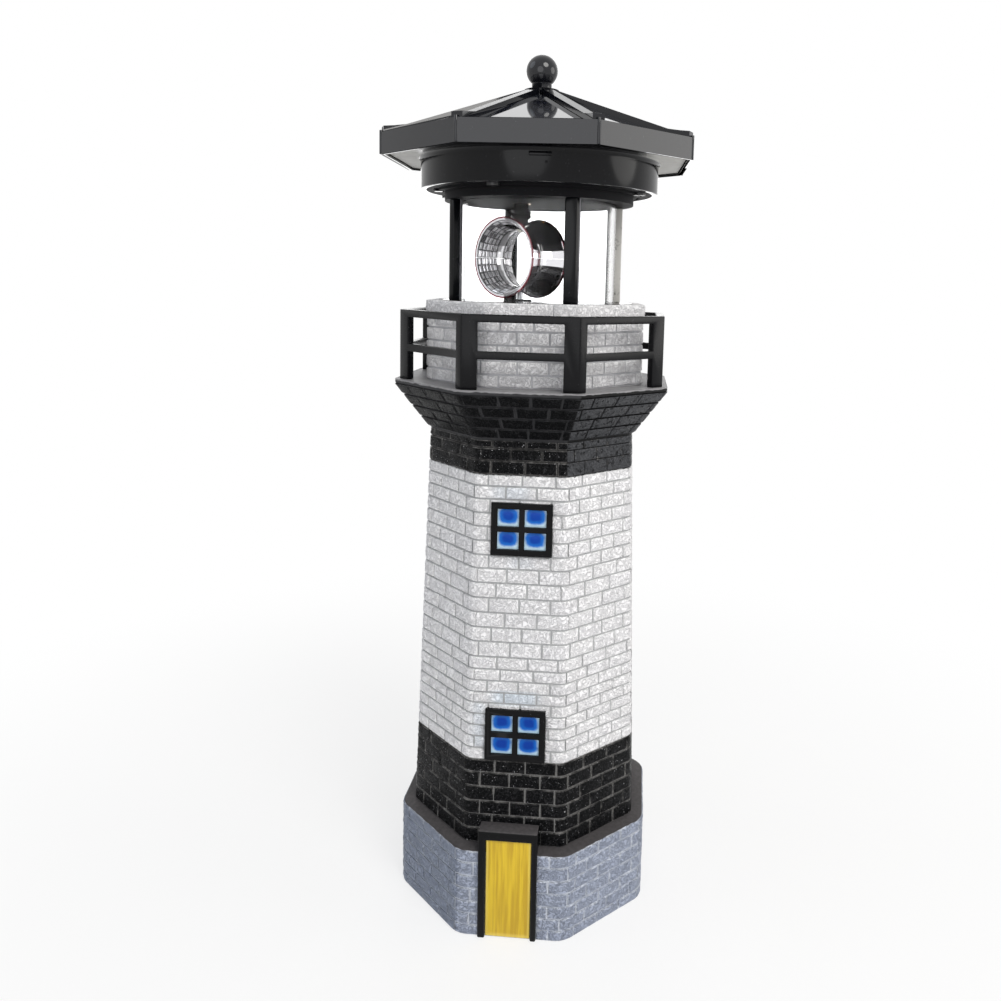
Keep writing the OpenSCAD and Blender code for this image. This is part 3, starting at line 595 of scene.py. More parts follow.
# %% Bricks of the plinth
brick_shape = {
    "length": 9.6, "gap": 0.64, "rise": 0.34, "soft": 0.34, "crown": 0.14,
    "lump": 0.19, "lump_scale": 1.2, "arris": shaft_arris, "uneven": 0.45,
}
plinth_half = 40.3
plinth_levels = [0.05, 3.4, 7.4, 11.4, 15.8, 20.0, 24.4, 28.2]
door_left, door_right = -9.6, 8.0
door_gap = (0, 28.3, door_left, door_right)
plinth_shape = dict(brick_shape, arris=plinth_arris, gap=0.4, rise=0.26)
plinth_band = lay_band(
    plinth_levels, lambda z: plinth_half, [1.9, -2.9], plinth_shape, 11, openings=[door_gap]
)

# %% [markdown]
# The shaft tapers, so its half width is a function of the height. Its lowest courses and
# its neck are painted black, the rest is white, and all of them leave room for the
# windows and the head of the door.

# %% Bricks of the shaft
shaft_foot_z, shaft_top_z, shaft_foot_half, shaft_top_half = 28.8, 155.8, 36.2, 32.15


def shaft_half(z):
    share = (z - shaft_foot_z) / (shaft_top_z - shaft_foot_z)
    return shaft_foot_half + (shaft_top_half - shaft_foot_half) * share


black_levels = [28.85, 33.6, 38.1, 42.5, 47.2, 51.8, 55.9]
white_levels = [
    55.9, 59.6, 63.4, 67.0, 70.6, 74.2, 77.6, 81.3, 84.95, 88.9, 93.7, 98.2, 102.9,
    107.5, 112.2, 116.7, 120.9, 125.3, 129.7, 133.9, 138.2, 142.2, 145.8,
]
neck_levels = [145.8, 150.05, 153.85, 156.3]
white_firsts = [
    1.2, -3.4, 0.6, -4.2, 1.0, -3.8, 0.3, 4.6, 3.3, -1.9, 1.4, -3.9, 0.0,
    2.8, -3.8, -0.1, 4.7, -0.6, 4.2, 0.2, -4.6, 0.4,
]
windows = [(121.0, 137.6, -8.3, 9.4), (56.1, 72.9, -9.2, 8.9)]
door_head = (28.5, 34.0, door_left, door_right)
black_shape = dict(brick_shape, gap=0.34)
black_band = lay_band(black_levels, shaft_half, [-1.5, 3.2], black_shape, 12, openings=[door_head])
white_band = lay_band(white_levels, shaft_half, white_firsts, brick_shape, 13, openings=windows)
neck_band = lay_band(neck_levels, shaft_half, [1.1, -3.6], black_shape, 14)
layer = white_band.verts.layers.float["edge"]
print("edge share:", round(sum(v[layer] for v in white_band.verts) / len(white_band.verts), 2))

# %% [markdown]
# Above the neck the wall flares out to carry the gallery. The low drum on top stands
# upright and a little turned, and it ends in a cap course of long stones.

# %% Bricks of the flare and the drum
flare_top_z, flare_top_half = 171.2, 43.25
flare_slope = (flare_top_half - shaft_top_half) / (flare_top_z - shaft_top_z)


def flare_half(z):
    return shaft_top_half + (z - shaft_top_z) * flare_slope


flare_levels = [156.8, 160.2, 163.8, 167.4, 171.0]
flare_shape = dict(brick_shape, rise=0.36, gap=0.6)
flare_band = lay_band(flare_levels, flare_half, [2.0, -6.1, -1.8, 3.0], flare_shape, 15)
drum_turn, drum_half, cap_half = 3.9, 33.9, 34.2
drum_levels = [172.4, 176.3, 180.4, 185.0, 189.1, 193.5]
cap_levels = [193.5, 197.5]
cap_shape = dict(brick_shape, length=53.0, lump=0.26, gap=0.3)
drum_band = lay_band(drum_levels, lambda z: drum_half, [0.5, -4.4], brick_shape, 16, drum_turn)
cap_band = lay_band(cap_levels, lambda z: cap_half, [6.0], cap_shape, 17, drum_turn)

# %% [markdown]
# One paint serves all bricks, in four colours. It reads the two values that were stored
# on the points: how close a point is to the brick's rim, and the shade of each brick.
# The rim is paler in cloudy patches, partly worn paint and partly a painted highlight
# along the edge. The rest is fine noise. Twisted noise gives the strokes of the carved
# face and a finer one gives grit, and both dent the surface. Their furrows carry painted
# shading: darker, as painted shade, on the white and grey bricks, and paler, as a painted
# highlight, on the black ones. An image could do this too, but noise has no seams and no
# repeat.

# %% Paint for bricks
cloud_scale, stroke_scale, grit_scale, stroke_width = 260.0, 820.0, 1700.0, 0.085


def read_value(tree, name):
    return add(tree, "ShaderNodeAttribute", {}, attribute_name=name).outputs["Fac"]


def brick_paint(name, face, dull, edge, furrow, roughness, depth, edge_share, specular, strokes=0.6):
    material, tree, shader, place = new_material(name)
    cloudy = speckle(tree, place, cloud_scale, 4.0)
    shade = sums(tree, "MULTIPLY_ADD", read_value(tree, "tone"), 0.5, times(tree, cloudy, 0.5))
    colour = blend(tree, shade, screen(*face), screen(*dull))
    # Paler rims: partly worn paint, partly a painted highlight along the edge.
    worn_and_lit_rim = times(tree, read_value(tree, "edge"), step_up(tree, cloudy, 0.30, 0.62))
    colour = blend(tree, times(tree, worn_and_lit_rim, edge_share), colour, screen(*edge))
    sockets = {"Vector": place, "Scale": stroke_scale, "Detail": 1.5, "Distortion": 1.3}
    stroke = add(tree, "ShaderNodeTexNoise", sockets).outputs[0]
    stroke = step_up(tree, distance_to(tree, stroke, 0.5), 0.0, stroke_width)
    grit = speckle(tree, place, grit_scale, 4.0)
    height = sums(tree, "MULTIPLY_ADD", stroke, 0.8, times(tree, grit, 0.5))
    rough_surface(tree, shader, height, 1.0, depth * mm)
    low_grit = step_up(tree, grit, 0.30, 0.50)
    # Painted shading in the stroke furrows: shade on light bricks, highlight on black ones.
    painted_stroke_shading = times(tree, sums(tree, "SUBTRACT", 1.0, stroke), low_grit)
    colour = blend(tree, times(tree, painted_stroke_shading, strokes), colour, screen(*furrow))
    set_inputs(shader, {"Roughness": roughness, "Specular IOR Level": specular})
    return material, tree, shader, place, colour


print("strokes in the bricks are about", round(1 / stroke_scale / mm, 1), "mm apart")

# %% [markdown]
# The white bricks carry small accidents of the painter: a breath of the windows' blue
# beside them, and black paint that ran a little over the line at either end. The drum is
# white as well, but has no black over its line, so that part stops below it.

# %% White bricks
white_paint, tree, shader, place, colour = brick_paint(
    "white_brick_paint", face=(246, 245, 246), dull=(236, 235, 238), edge=(254, 254, 254),
    furrow=(190, 190, 195), roughness=0.62, depth=0.34, edge_share=1.0, specular=0.2, strokes=0.34,
)
spray_blue = screen(150, 198, 232)
spray_table = [
    ((-7.5, 6.5), (73.8, 78.2), 0.24),
    ((-8.5, 2.0), (137.8, 142.4), 0.13),
    ((-13.5, -9.5), (60.0, 74.0), 0.16),
    ((-3.0, 4.0), (117.0, 121.0), 0.08),
]
parts = axes_of(tree, place)
for across, upright, strength in spray_table:
    wide, tall = band_share(tree, parts[0], *across, 2.5), band_share(tree, parts[2], *upright, 0.8)
    on_front = step_at(tree, parts[1], -31.5, -1.5)
    share = times(tree, times(tree, times(tree, wide, tall), on_front), strength)
    colour = blend(tree, share, colour, spray_blue)
spill_height = wavy_height(tree, place, 900.0, 3.0, 1.6)
over_top, over_foot = step_at(tree, spill_height, 146.4, 0.05), step_at(tree, spill_height, 56.9, -0.05)
spill = sums(tree, "MAXIMUM", over_top, over_foot)
spill = times(tree, spill, step_at(tree, parts[2], 155.0, -5.0))
set_colour(tree, shader, blend(tree, times(tree, spill, 0.85), colour, screen(26, 26, 28)))
print("sprayed patches:", len(spray_table))

# %% [markdown]
# The plinth's bricks are blue-grey with pale rims, and the faces to the left of the door
# are darker with painted shade. The black bricks of the shaft have sparse pale specks. On
# the neck and the flare the right-hand faces are greyer with a painted reflection of the
# light from the right, broken up by noise. Which side a point is on follows from its
# place, so one material does for all eight faces.

# %% Grey and black bricks
def past_front_corner(tree, place, side):
    parts = axes_of(tree, place)
    across = times(tree, parts[0], side)
    past = sums(tree, "MULTIPLY_ADD", parts[1], math.tan(math.radians(octagon_corner)), across)
    return step_up(tree, past, 0.0, 0.6 * mm)


def painted_side_reflection(tree, place, share):
    return times(tree, share, step_up(tree, speckle(tree, place, 700.0, 3.0), 0.28, 0.50))


leftward, rightward = -1, 1
grey_paint, tree, shader, place, colour = brick_paint(
    "grey_brick_paint", face=(166, 174, 193), dull=(147, 155, 175), edge=(218, 223, 232),
    furrow=(112, 120, 141), roughness=0.42, depth=0.5, edge_share=1.0, specular=0.3, strokes=0.18,
)
# Painted shade on the faces to the left of the door.
painted_left_shade = times(tree, past_front_corner(tree, place, leftward), 0.5)
set_colour(tree, shader, blend(tree, painted_left_shade, colour, screen(96, 107, 128)))

black_paint, tree, shader, place, colour = brick_paint(
    "black_brick_paint", face=(4, 5, 6), dull=(9, 10, 12), edge=(150, 148, 146),
    furrow=(60, 60, 62), roughness=0.20, depth=0.5, edge_share=0.7, specular=0.06,
)
specks = step_up(tree, speckle(tree, place, 2100.0, 1.0), 0.71, 0.77)
colour = blend(tree, times(tree, specks, 0.7), colour, screen(205, 205, 208))
above_shaft = step_at(tree, axes_of(tree, place)[2], 140.5, 0.5)
# Painted reflection of the light from the right on the neck's right-hand faces.
painted_reflection = painted_side_reflection(tree, place, times(tree, past_front_corner(tree, place, rightward), above_shaft))
set_colour(tree, shader, blend(tree, painted_reflection, colour, screen(74, 75, 78)))

flare_paint, tree, shader, place, colour = brick_paint(
    "flare_brick_paint", face=(5, 6, 7), dull=(10, 11, 13), edge=(92, 92, 94),
    furrow=(50, 50, 52), roughness=0.26, depth=0.5, edge_share=0.7, specular=0.05,
)
# Painted reflection of the light from the right on the flare's right-hand faces.
painted_reflection = painted_side_reflection(tree, place, past_front_corner(tree, place, rightward))
set_colour(tree, shader, blend(tree, painted_reflection, colour, screen(78, 79, 82)))
print("brick paints:", white_paint.name, grey_paint.name, black_paint.name, flare_paint.name)

# %% [markdown]
# The castings show in the joints as mortar, and bare on their ledges. Each has a dull
# mortar with a little cloud in it. In the white shaft and the drum the joints are a
# greyer white, darkened further as painted shade in the grooves. The shaft's mortar
# changes where the bricks change their colour, and on the neck, as in the gallery's
# joints under the flare, it is painted lighter on the front and black on the right-hand
# faces, painted side shading that goes with the bricks' painted reflection. The plinth's
# top is a dark ledge, and the gallery's floor and the drum's top are pale. All of them
# change at a wavy level, as brushed paint does.

# %% Mortar
def mortar(name, tone, dark, roughness):
    material, tree, shader, place = new_material(name)
    cloudy = speckle(tree, place, 400.0, 3.0)
    rough_surface(tree, shader, speckle(tree, place, 1200.0, 3.0), 0.5, 0.15 * mm)
    set_inputs(shader, {"Roughness": roughness, "Specular IOR Level": 0.15})
    return material, tree, shader, place, blend(tree, cloudy, screen(*tone), screen(*dark))


def ledge_tone(tree, place):
    return blend(tree, speckle(tree, place, 900.0, 4.0), screen(58, 56, 57), screen(92, 89, 90))


# The grey of the white shaft's joints is partly painted shade in the grooves.
shaft_mortar, tree, shader, place, colour = mortar(
    "shaft_mortar", (184, 185, 186), (156, 157, 159), 0.7
)
wavy = wavy_height(tree, place, 700.0, 2.0, 0.8)
colour = blend(tree, step_at(tree, wavy, 56.3, -0.1), colour, screen(150, 149, 148))
# Neck joints: lighter on the front, black on the right, as painted side shading.
neck_joint_side_shading = past_front_corner(tree, place, rightward)
neck_joint_side_shading = blend(tree, neck_joint_side_shading, screen(58, 57, 57), screen(11, 11, 12))
set_colour(tree, shader, blend(tree, step_at(tree, wavy, 146.0, 0.1), colour, neck_joint_side_shading))

plinth_mortar, tree, shader, place, colour = mortar(
    "plinth_mortar", (222, 226, 234), (192, 198, 211), 0.6
)
on_ledge = step_at(tree, wavy_height(tree, place, 500.0, 2.0, 0.6), 28.39, 0.07)
set_colour(tree, shader, blend(tree, on_ledge, colour, ledge_tone(tree, place)))

gallery_mortar, tree, shader, place, colour = mortar("gallery_mortar", (58, 58, 60), (40, 40, 42), 0.5)
# Joints under the flare: black on the right-hand faces, as painted side shading.
joint_side_shading = past_front_corner(tree, place, rightward)
colour = blend(tree, joint_side_shading, colour, screen(10, 10, 11))
on_floor = step_at(tree, wavy_height(tree, place, 350.0, 2.0, 0.9), 172.35, 0.1)
worn_floor = speckle(tree, place, 600.0, 4.0)
worn_floor = blend(tree, worn_floor, screen(158, 157, 158), screen(112, 111, 114))
set_colour(tree, shader, blend(tree, on_floor, colour, worn_floor))

# The drum's joints are grey partly as painted shade in the grooves.
drum_mortar, tree, shader, place, colour = mortar("drum_mortar", (206, 206, 209), (182, 182, 187), 0.7)
on_top = step_at(tree, axes_of(tree, place)[2], 197.0, 0.2)
set_colour(tree, shader, blend(tree, on_top, colour, screen(226, 225, 226)))
print("mortars:", shaft_mortar.name, plinth_mortar.name, gallery_mortar.name, drum_mortar.name)

# %% Set the bricks and castings in place
casting_table = [
    ("plinth", plinth_mortar, "grey_paint"),
    ("shaft", shaft_mortar, "white_paint"),
    ("gallery", gallery_mortar, "black_paint"),
    ("brick_drum", drum_mortar, "white_paint"),
]
for node, material, slot in casting_table:
    finish_piece(node + "_casting", casting_meshes[node], "tower", material, slot, [node], crease=30)
band_table = [
    ("plinth_bricks", plinth_band, grey_paint, "grey_paint"),
    ("black_bricks", black_band, black_paint, "black_paint"),
    ("white_bricks", white_band, white_paint, "white_paint"),
    ("neck_bricks", neck_band, black_paint, "black_paint"),
    ("flare_bricks", flare_band, flare_paint, "black_paint"),
    ("drum_bricks", drum_band, white_paint, "white_paint"),
    ("drum_cap_course", cap_band, white_paint, "white_paint"),
]
for name, band, material, slot in band_table:
    finish_piece(name, band, "tower", material, slot, crease=60)

# %% [markdown]
# Mouldings in black plastic make the railing, the frames and the whole lamp head. The
# plastic is glossy, but one even gloss would look like a drawing: handling leaves faint
# haze, dust settles in specks, and the mould leaves a very fine texture. A kind of
# plastic is given by its colour, its hazy colour, the roughness of clean and of hazy
# patches, the strength of the texture and the specular level. A cover is a function that
# adds a film where a piece has one, of paint or of painted reflection, and the film is matt.

# %% Black plastic
film_roughness = 0.6


def plastic(name, face, haze, gloss, dull, texture, specular, cover=None):
    material, tree, shader, place = new_material(name)
    patches = speckle(tree, place, 55.0, 4.0)
    dust = step_up(tree, speckle(tree, place, 1800.0, 2.0), 0.68, 0.80)
    colour = blend(tree, patches, screen(*face), screen(*haze))
    colour = blend(tree, times(tree, dust, 0.25), colour, screen(120, 120, 124))
    covered = 0.0
    if cover:
        colour, covered = cover(tree, place, colour)
    set_colour(tree, shader, colour)
    roughness = between(tree, patches, gloss, dull)
    roughness = sums(tree, "MAXIMUM", roughness, times(tree, covered, film_roughness))
    tree.links.new(roughness, shader.inputs["Roughness"])
    rough_surface(tree, shader, speckle(tree, place, 2200.0, 3.0), texture, 0.05 * mm)
    set_inputs(shader, {"Specular IOR Level": specular})
    return material


head_gloss = ((8, 8, 10), (15, 15, 18), 0.08, 0.20, 0.10, 0.18)
gloss_black = plastic("gloss_black", *head_gloss)
roof_black = plastic("roof_black", (11, 12, 17), (20, 21, 27), 0.05, 0.13, 0.06, 0.44)
satin_black = plastic("satin_black", (6, 6, 8), (13, 13, 16), 0.20, 0.36, 0.3, 0.16)
print("black plastics:", gloss_black.name, roof_black.name, satin_black.name)

# %% Railing
railing = copy_of("gallery_railing")
round_edges(railing, sharp_edges(railing), 0.28)
finish_piece("railing", railing, "tower", satin_black, "black_plastic", ["gallery_railing"])

# %% [markdown]
# The frames of the door and the windows are black enamel. The plinth's dark ledge runs on
# over the head of the door. The upright bars of the door's frame look slimmer in the
# photograph than the part is, so the copy's points on their inner side are moved outwards
# and those on the outer side of the right-hand bar inwards.

# %% Frames of the door and the windows
leaf_low, leaf_high = box_mm("door_leaf")
leaf_middle, leaf_half = (leaf_low.x + leaf_high.x) / 2, (leaf_high.x - leaf_low.x) / 2
door_top = box_mm("door_frame")[1].z
inner_shift, outer_shift, jamb_reach = 0.75, 0.5, 0.6


def ledge_on_top(tree, place, colour):
    share = step_at(tree, axes_of(tree, place)[2], door_top - 0.2, 0.1)
    return blend(tree, share, colour, ledge_tone(tree, place)), share


def slim_bars(bm):
    for v in bm.verts:
        off = v.co.x - leaf_middle
        if abs(off) < leaf_half + jamb_reach:
            v.co.x += math.copysign(inner_shift, off)
        elif off > 0:
            v.co.x -= outer_shift


enamel = ((8, 8, 9), (16, 16, 18), 0.12, 0.30, 0.3, 0.12)
door_enamel = plastic("door_enamel", *enamel, ledge_on_top)
enamel_black = plastic("enamel_black", *enamel)
frame_table = [
    ("door_frame", 0.45, door_enamel),
    ("upper_window_frame", 0.32, enamel_black),
    ("lower_window_frame", 0.32, enamel_black),
]
for node, width, material in frame_table:
    bm = copy_of(node)
    if node == "door_frame":
        slim_bars(bm)
    round_edges(bm, sharp_edges(bm), width)
    finish_piece(node + "_rounded", bm, "tower", material, "black_plastic", [node])
print("door leaf is", round(2 * leaf_half, 2), "mm wide before its edges follow the frame")

# %% [markdown]
# The door leaf is painted yellow over a wood grain that was combed into the mould. The
# grain is noise that is stretched upright. Darker paint lies in its furrows, and the
# paint thins to a paler yellow at the sides and the foot. The leaf is widened as much as
# the frame was opened.

# %% Door leaf
yellow_paint, tree, shader, place = new_material("yellow_door_paint")
parts = axes_of(tree, place)
grain = speckle(tree, place, 900.0, 4.0, (1.0, 1.0, 0.05))
cloud = speckle(tree, place, 160.0, 3.0, (1.0, 1.0, 0.4))
colour = blend(tree, step_up(tree, grain, 0.35, 0.65), screen(188, 150, 10), screen(222, 188, 32))
colour = blend(tree, times(tree, cloud, 0.35), colour, screen(204, 172, 24))
sides = step_at(tree, distance_to(tree, parts[0], leaf_middle * mm), leaf_half + 0.1, 0.5)
foot = step_at(tree, parts[2], 1.5, -0.7)
pale = times(tree, sums(tree, "MAXIMUM", sides, foot), 0.6)
set_colour(tree, shader, blend(tree, pale, colour, screen(238, 214, 104)))
rough_surface(tree, shader, grain, 0.7, 0.3 * mm)
set_inputs(shader, {"Roughness": 0.42})

leaf = copy_of("door_leaf")
for v in leaf.verts:
    v.co.x += math.copysign(inner_shift, v.co.x - leaf_middle)
round_edges(leaf, sharp_edges(leaf), 0.2)
finish_piece("door_leaf_painted", leaf, "tower", yellow_paint, "yellow_paint", ["door_leaf"])

# %% [markdown]
# Each window pane is a drop of blue enamel. It stands in its frame like a small pillow,
# deep blue in the middle and pale where it is thin. A flat box would lose its soft
# highlight, so the pane is a grid that is pulled up in its middle, and it carries its own
# map from corner to corner for the colour. The blue lies a little above the middle.

# %% Window panes
pane_swell, pane_depth, pane_proud = 0.35, 0.7, 0.62


def pane_enamel(name, deep, mid, pale, lift):
    material, tree, shader, place = new_material(name)
    own = axes_of(tree, add(tree, "ShaderNodeUVMap", {}, uv_map="pane").outputs[0])
    across, upright = distance_to(tree, own[0], 0.5), distance_to(tree, own[1], lift)
    cubes = sums(tree, "ADD", sums(tree, "POWER", across, 3.0), sums(tree, "POWER", upright, 3.0))
    far = sums(tree, "SUBTRACT", sums(tree, "POWER", cubes, 1 / 3), 0.08)
    far = sums(tree, "MULTIPLY_ADD", speckle(tree, place, 500.0, 3.0), 0.16, far)
    colour = blend(tree, step_up(tree, far, 0.16, 0.40), screen(*deep), screen(*mid))
    set_colour(tree, shader, blend(tree, step_up(tree, far, 0.36, 0.54), colour, screen(*pale)))
    rough_surface(tree, shader, speckle(tree, place, 450.0, 2.0), 0.25, 0.3 * mm)
    set_inputs(shader, {"Roughness": 0.22, "Specular IOR Level": 0.12})
    return material


def pane(node, material):
    low, high = box_mm(node)
    wide, tall = (high.x - low.x) / 2, (high.z - low.z) / 2
    bm = bmesh.new()
    bmesh.ops.create_grid(bm, x_segments=8, y_segments=8, size=1.0, calc_uvs=True)
    layer = bm.loops.layers.uv.verify()
    for face in bm.faces:
        for loop in face.loops:
            loop[layer].uv = (loop.vert.co.x / 2 + 0.5, loop.vert.co.y / 2 + 0.5)
    for v in bm.verts:
        swell = (1 - v.co.x ** 4) * (1 - v.co.y ** 4)
        v.co = Vector((v.co.x * wide, v.co.y * tall, pane_swell * swell))
    turn_mesh(bm, math.pi / 2 - shaft_tilt, "X")
    middle = (low + high) / 2
    move_mesh(bm, (middle.x, -shaft_half(middle.z) - pane_proud, middle.z))
    grown = bmesh.ops.extrude_face_region(bm, geom=bm.faces[:], use_keep_orig=True)["geom"]
    back = [g for g in grown if isinstance(g, bmesh.types.BMVert)]
    bmesh.ops.translate(bm, vec=(0, pane_depth, 0), verts=back)
    bmesh.ops.recalc_face_normals(bm, faces=bm.faces[:])
    piece = finish_piece(node + "_enamel", bm, "tower", material, "window_blue", [node], crease=50)
    piece.data.uv_layers[0].name = "pane"


upper_enamel = pane_enamel("upper_pane_enamel", (4, 62, 158), (28, 106, 196), (200, 226, 242), 0.62)
lower_enamel = pane_enamel("lower_pane_enamel", (3, 56, 150), (22, 100, 190), (192, 222, 242), 0.60)
shaft_tilt = math.atan((shaft_foot_half - shaft_top_half) / (shaft_top_z - shaft_foot_z))
for k in range(1, 5):
    pane(f"upper_window_pane_{k}", upper_enamel)
    pane(f"lower_window_pane_{k}", lower_enamel)
print("panes lean with the wall by", round(math.degrees(shaft_tilt), 2), "degrees")

# %% [markdown]
# Most of the lamp head is one glossy black plastic. The roof, the drum under it and the
# posts are copies with rounded edges, because a moulding's edges always carry a thin line
# of light. The posts and the drum have a cover. The posts carry a painted reflection,
# grey and broken up by noise, on the side that faces right, and the one at the rear right
# is painted pale there. The soffit, which is the flat underside round the drum, has a pale
# painted reflection of the floor at its left and right ends.

# %% Painted reflections on the posts and the soffit
def post_plastic(node):
    low, high = box_mm(node)
    at_rear_right = low.x > 0 and low.y > 0
    reach = 2.6 if at_rear_right else 0.5
    # The tone is a painted reflection: pale on the rear right post, grey on the others.
    tone = (206, 204, 199) if at_rear_right else (112, 112, 116)

    def post_side_reflection(tree, place, colour):
        share = step_at(tree, axes_of(tree, place)[0], high.x - 0.9 * reach, 0.1 * reach)
        grain = step_up(tree, speckle(tree, place, 500.0, 4.0), 0.22, 0.42)
        share = times(tree, share, grain)
        return blend(tree, share, colour, screen(*tone)), share

    return plastic(node + "_plastic", (7, 8, 10), (13, 14, 17), 0.10, 0.22, 0.10, 0.16, post_side_reflection)


soffit_level = box_mm("lower_housing")[1].z - 1.5


def soffit_floor_reflection(tree, place, colour):
    parts = axes_of(tree, place)
    on_soffit = step_at(tree, parts[2], soffit_level - 0.3, 0.2)
    aside = step_at(tree, sums(tree, "ABSOLUTE", parts[0]), 34.5, 3.5)
    share = times(tree, on_soffit, aside)
    # A pale painted reflection of the floor at the soffit's left and right ends.
    painted_reflection = blend(tree, speckle(tree, place, 300.0, 4.0), screen(206, 205, 201), screen(180, 179, 176))
    return blend(tree, share, colour, painted_reflection), share


print("soffit at", round(soffit_level, 1), "mm")

# %% Roof, drum and posts
head_table = [
    ("roof_shell", 0.22, 25, roof_black),
    ("lower_housing", 0.2, 50, plastic("housing_plastic", *head_gloss, soffit_floor_reflection)),
]
for k in range(1, 5):
    head_table.append((f"lantern_post_{k}", 0.25, 25, post_plastic(f"lantern_post_{k}")))
for node, width, angle, material in head_table:
    bm = copy_of(node)
    round_edges(bm, sharp_edges(bm, angle), width)
    finish_piece(node + "_moulding", bm, "lamp_head", material, "black_plastic", [node], crease=30)

# %% [markdown]
# Each rib of the roof ends at the eave in a small rolled curl, and a thin bead runs from
# it down the corner of the fascia. They could be arranged with an array of objects, but
# one merged piece is easier to carry. A curl and a bead are made at the first corner,
# turned round the axis, and poured into one mesh, for each of the eight corners. The
# ball on the roof is a plain copy that only needs its own crease angle.

# %% Curls and beads at the eaves
head_turn, roof_half = 1.9, 47.5
roof_corner = roof_half * corner_factor


def rod(radius, length, segments):
    bm = bmesh.new()
    bmesh.ops.create_cone(
        bm, cap_ends=True, segments=segments, radius1=radius, radius2=radius, depth=length
    )
    return bm


eave_ends = bmesh.new()
for k in range(8):
    curl = rod(1.0, 2.8, 20)
    turn_mesh(curl, math.pi / 2, "X")
    round_edges(curl, sharp_edges(curl, 60), 0.25)
    move_mesh(curl, (roof_corner - 1.75, 0, 248.9))
    bead = rod(0.55, 7.2, 12)
    round_edges(bead, sharp_edges(bead, 60), 0.15)
    move_mesh(bead, (roof_corner - 0.3, 0, 245.0))
    for part in (curl, bead):
        turn_mesh(part, math.radians(octagon_corner + head_turn + 45 * k), "Z")
        pour_into(eave_ends, part)
finish_piece("eave_curls", eave_ends, "lamp_head", roof_black, "black_plastic")
finish_piece("finial_ball", copy_of("finial"), "lamp_head", roof_black, "black_plastic", ["finial"])

# %% [markdown]
# A short raised bar is moulded on the front of the drum, where a hand feels for the way
# round that the head goes, and the gate of the mould left a small pip under it. The bar
# is a block with well rounded edges and the pip is a flattened ball. Both sink a little
# into the wall, so no gap shows behind them.

# %% Bar and pip on the drum
drum_radius, bar_turn, pip_turn, bar_level, pip_level = 38.3, 6.4, 9.0, 240.0, 237.7


def on_drum(bm, height, turn):
    a = math.radians(turn)
    turn_mesh(bm, a, "Z")
    move_mesh(bm, (drum_radius * math.sin(a), -drum_radius * math.cos(a), height))


thumb_bar = bmesh.new()
bmesh.ops.create_cube(thumb_bar, size=1.0)
bmesh.ops.scale(thumb_bar, vec=(6.6, 1.0, 1.3), verts=thumb_bar.verts)
move_mesh(thumb_bar, (0, 0.12, 0))
round_edges(thumb_bar, thumb_bar.edges, 0.3, 3)
on_drum(thumb_bar, bar_level, bar_turn)
finish_piece("drum_thumb_bar", thumb_bar, "lamp_head", gloss_black, "black_plastic")

mould_pip = bmesh.new()
bmesh.ops.create_icosphere(mould_pip, subdivisions=2, radius=0.4)
bmesh.ops.scale(mould_pip, vec=(1, 0.6, 1), verts=mould_pip.verts)
on_drum(mould_pip, pip_level, pip_turn)
finish_piece("drum_mould_pip", mould_pip, "lamp_head", gloss_black, "black_plastic")

# %% [markdown]
# Everything else in the head keeps its own mesh and gets a finish. The lens is clear
# plastic with faint smears. Its wall is thin, and a low index of refraction bends the
# view through it as little as the photograph shows. The panels are dark under a very
# clear face, and a strong coat lets them mirror the sky.

# %% Clear lens and panels
clear_plastic, tree, shader, place = new_material("clear_lens_plastic")
smear = speckle(tree, place, 70.0, 5.0, (1.0, 1.0, 0.5))
roughness = add(tree, "ShaderNodeMapRange", {0: smear, 1: 0.5, 2: 0.8, 3: 0.01, 4: 0.12})
tree.links.new(roughness.outputs[0], shader.inputs["Roughness"])
set_colour(tree, shader, blend(tree, smear, screen(255, 255, 255), screen(250, 251, 252)))
set_inputs(shader, {"Transmission Weight": 1.0, "IOR": 1.15})

panel_glass, tree, shader, place = new_material("solar_panel_glass")
smear = speckle(tree, place, 90.0, 4.0)
set_colour(tree, shader, blend(tree, smear, screen(22, 24, 34), screen(34, 36, 46)))
tree.links.new(between(tree, smear, 0.03, 0.10), shader.inputs["Roughness"])
set_inputs(shader, {"Specular IOR Level": 1.0, "Coat Weight": 1.0})
set_inputs(shader, {"Coat IOR": 2.2, "Coat Roughness": 0.02})
print("clear finishes:", clear_plastic.name, panel_glass.name)

# %% [markdown]
# The inner parts have the plain surfaces of metal and moulded plastic. One function makes
# them all from a row of the table: two tones, how metallic it is, its roughness, the
# scale of its grain and the grain's strength. The rows are named for the slots of the
# record, so each part finds its finish by the slot that it names.

# %% Finishes of the inner parts
def plain_finish(name, face, dull, metallic, roughness, grain, strength):
    material, tree, shader, place = new_material(name)
    cloudy = speckle(tree, place, grain / 6, 4.0)
    set_colour(tree, shader, blend(tree, cloudy, screen(*face), screen(*dull)))
    rough_surface(tree, shader, speckle(tree, place, grain, 4.0), strength, 0.1 * mm)
    set_inputs(shader, {"Metallic": metallic, "Roughness": roughness})
    return material


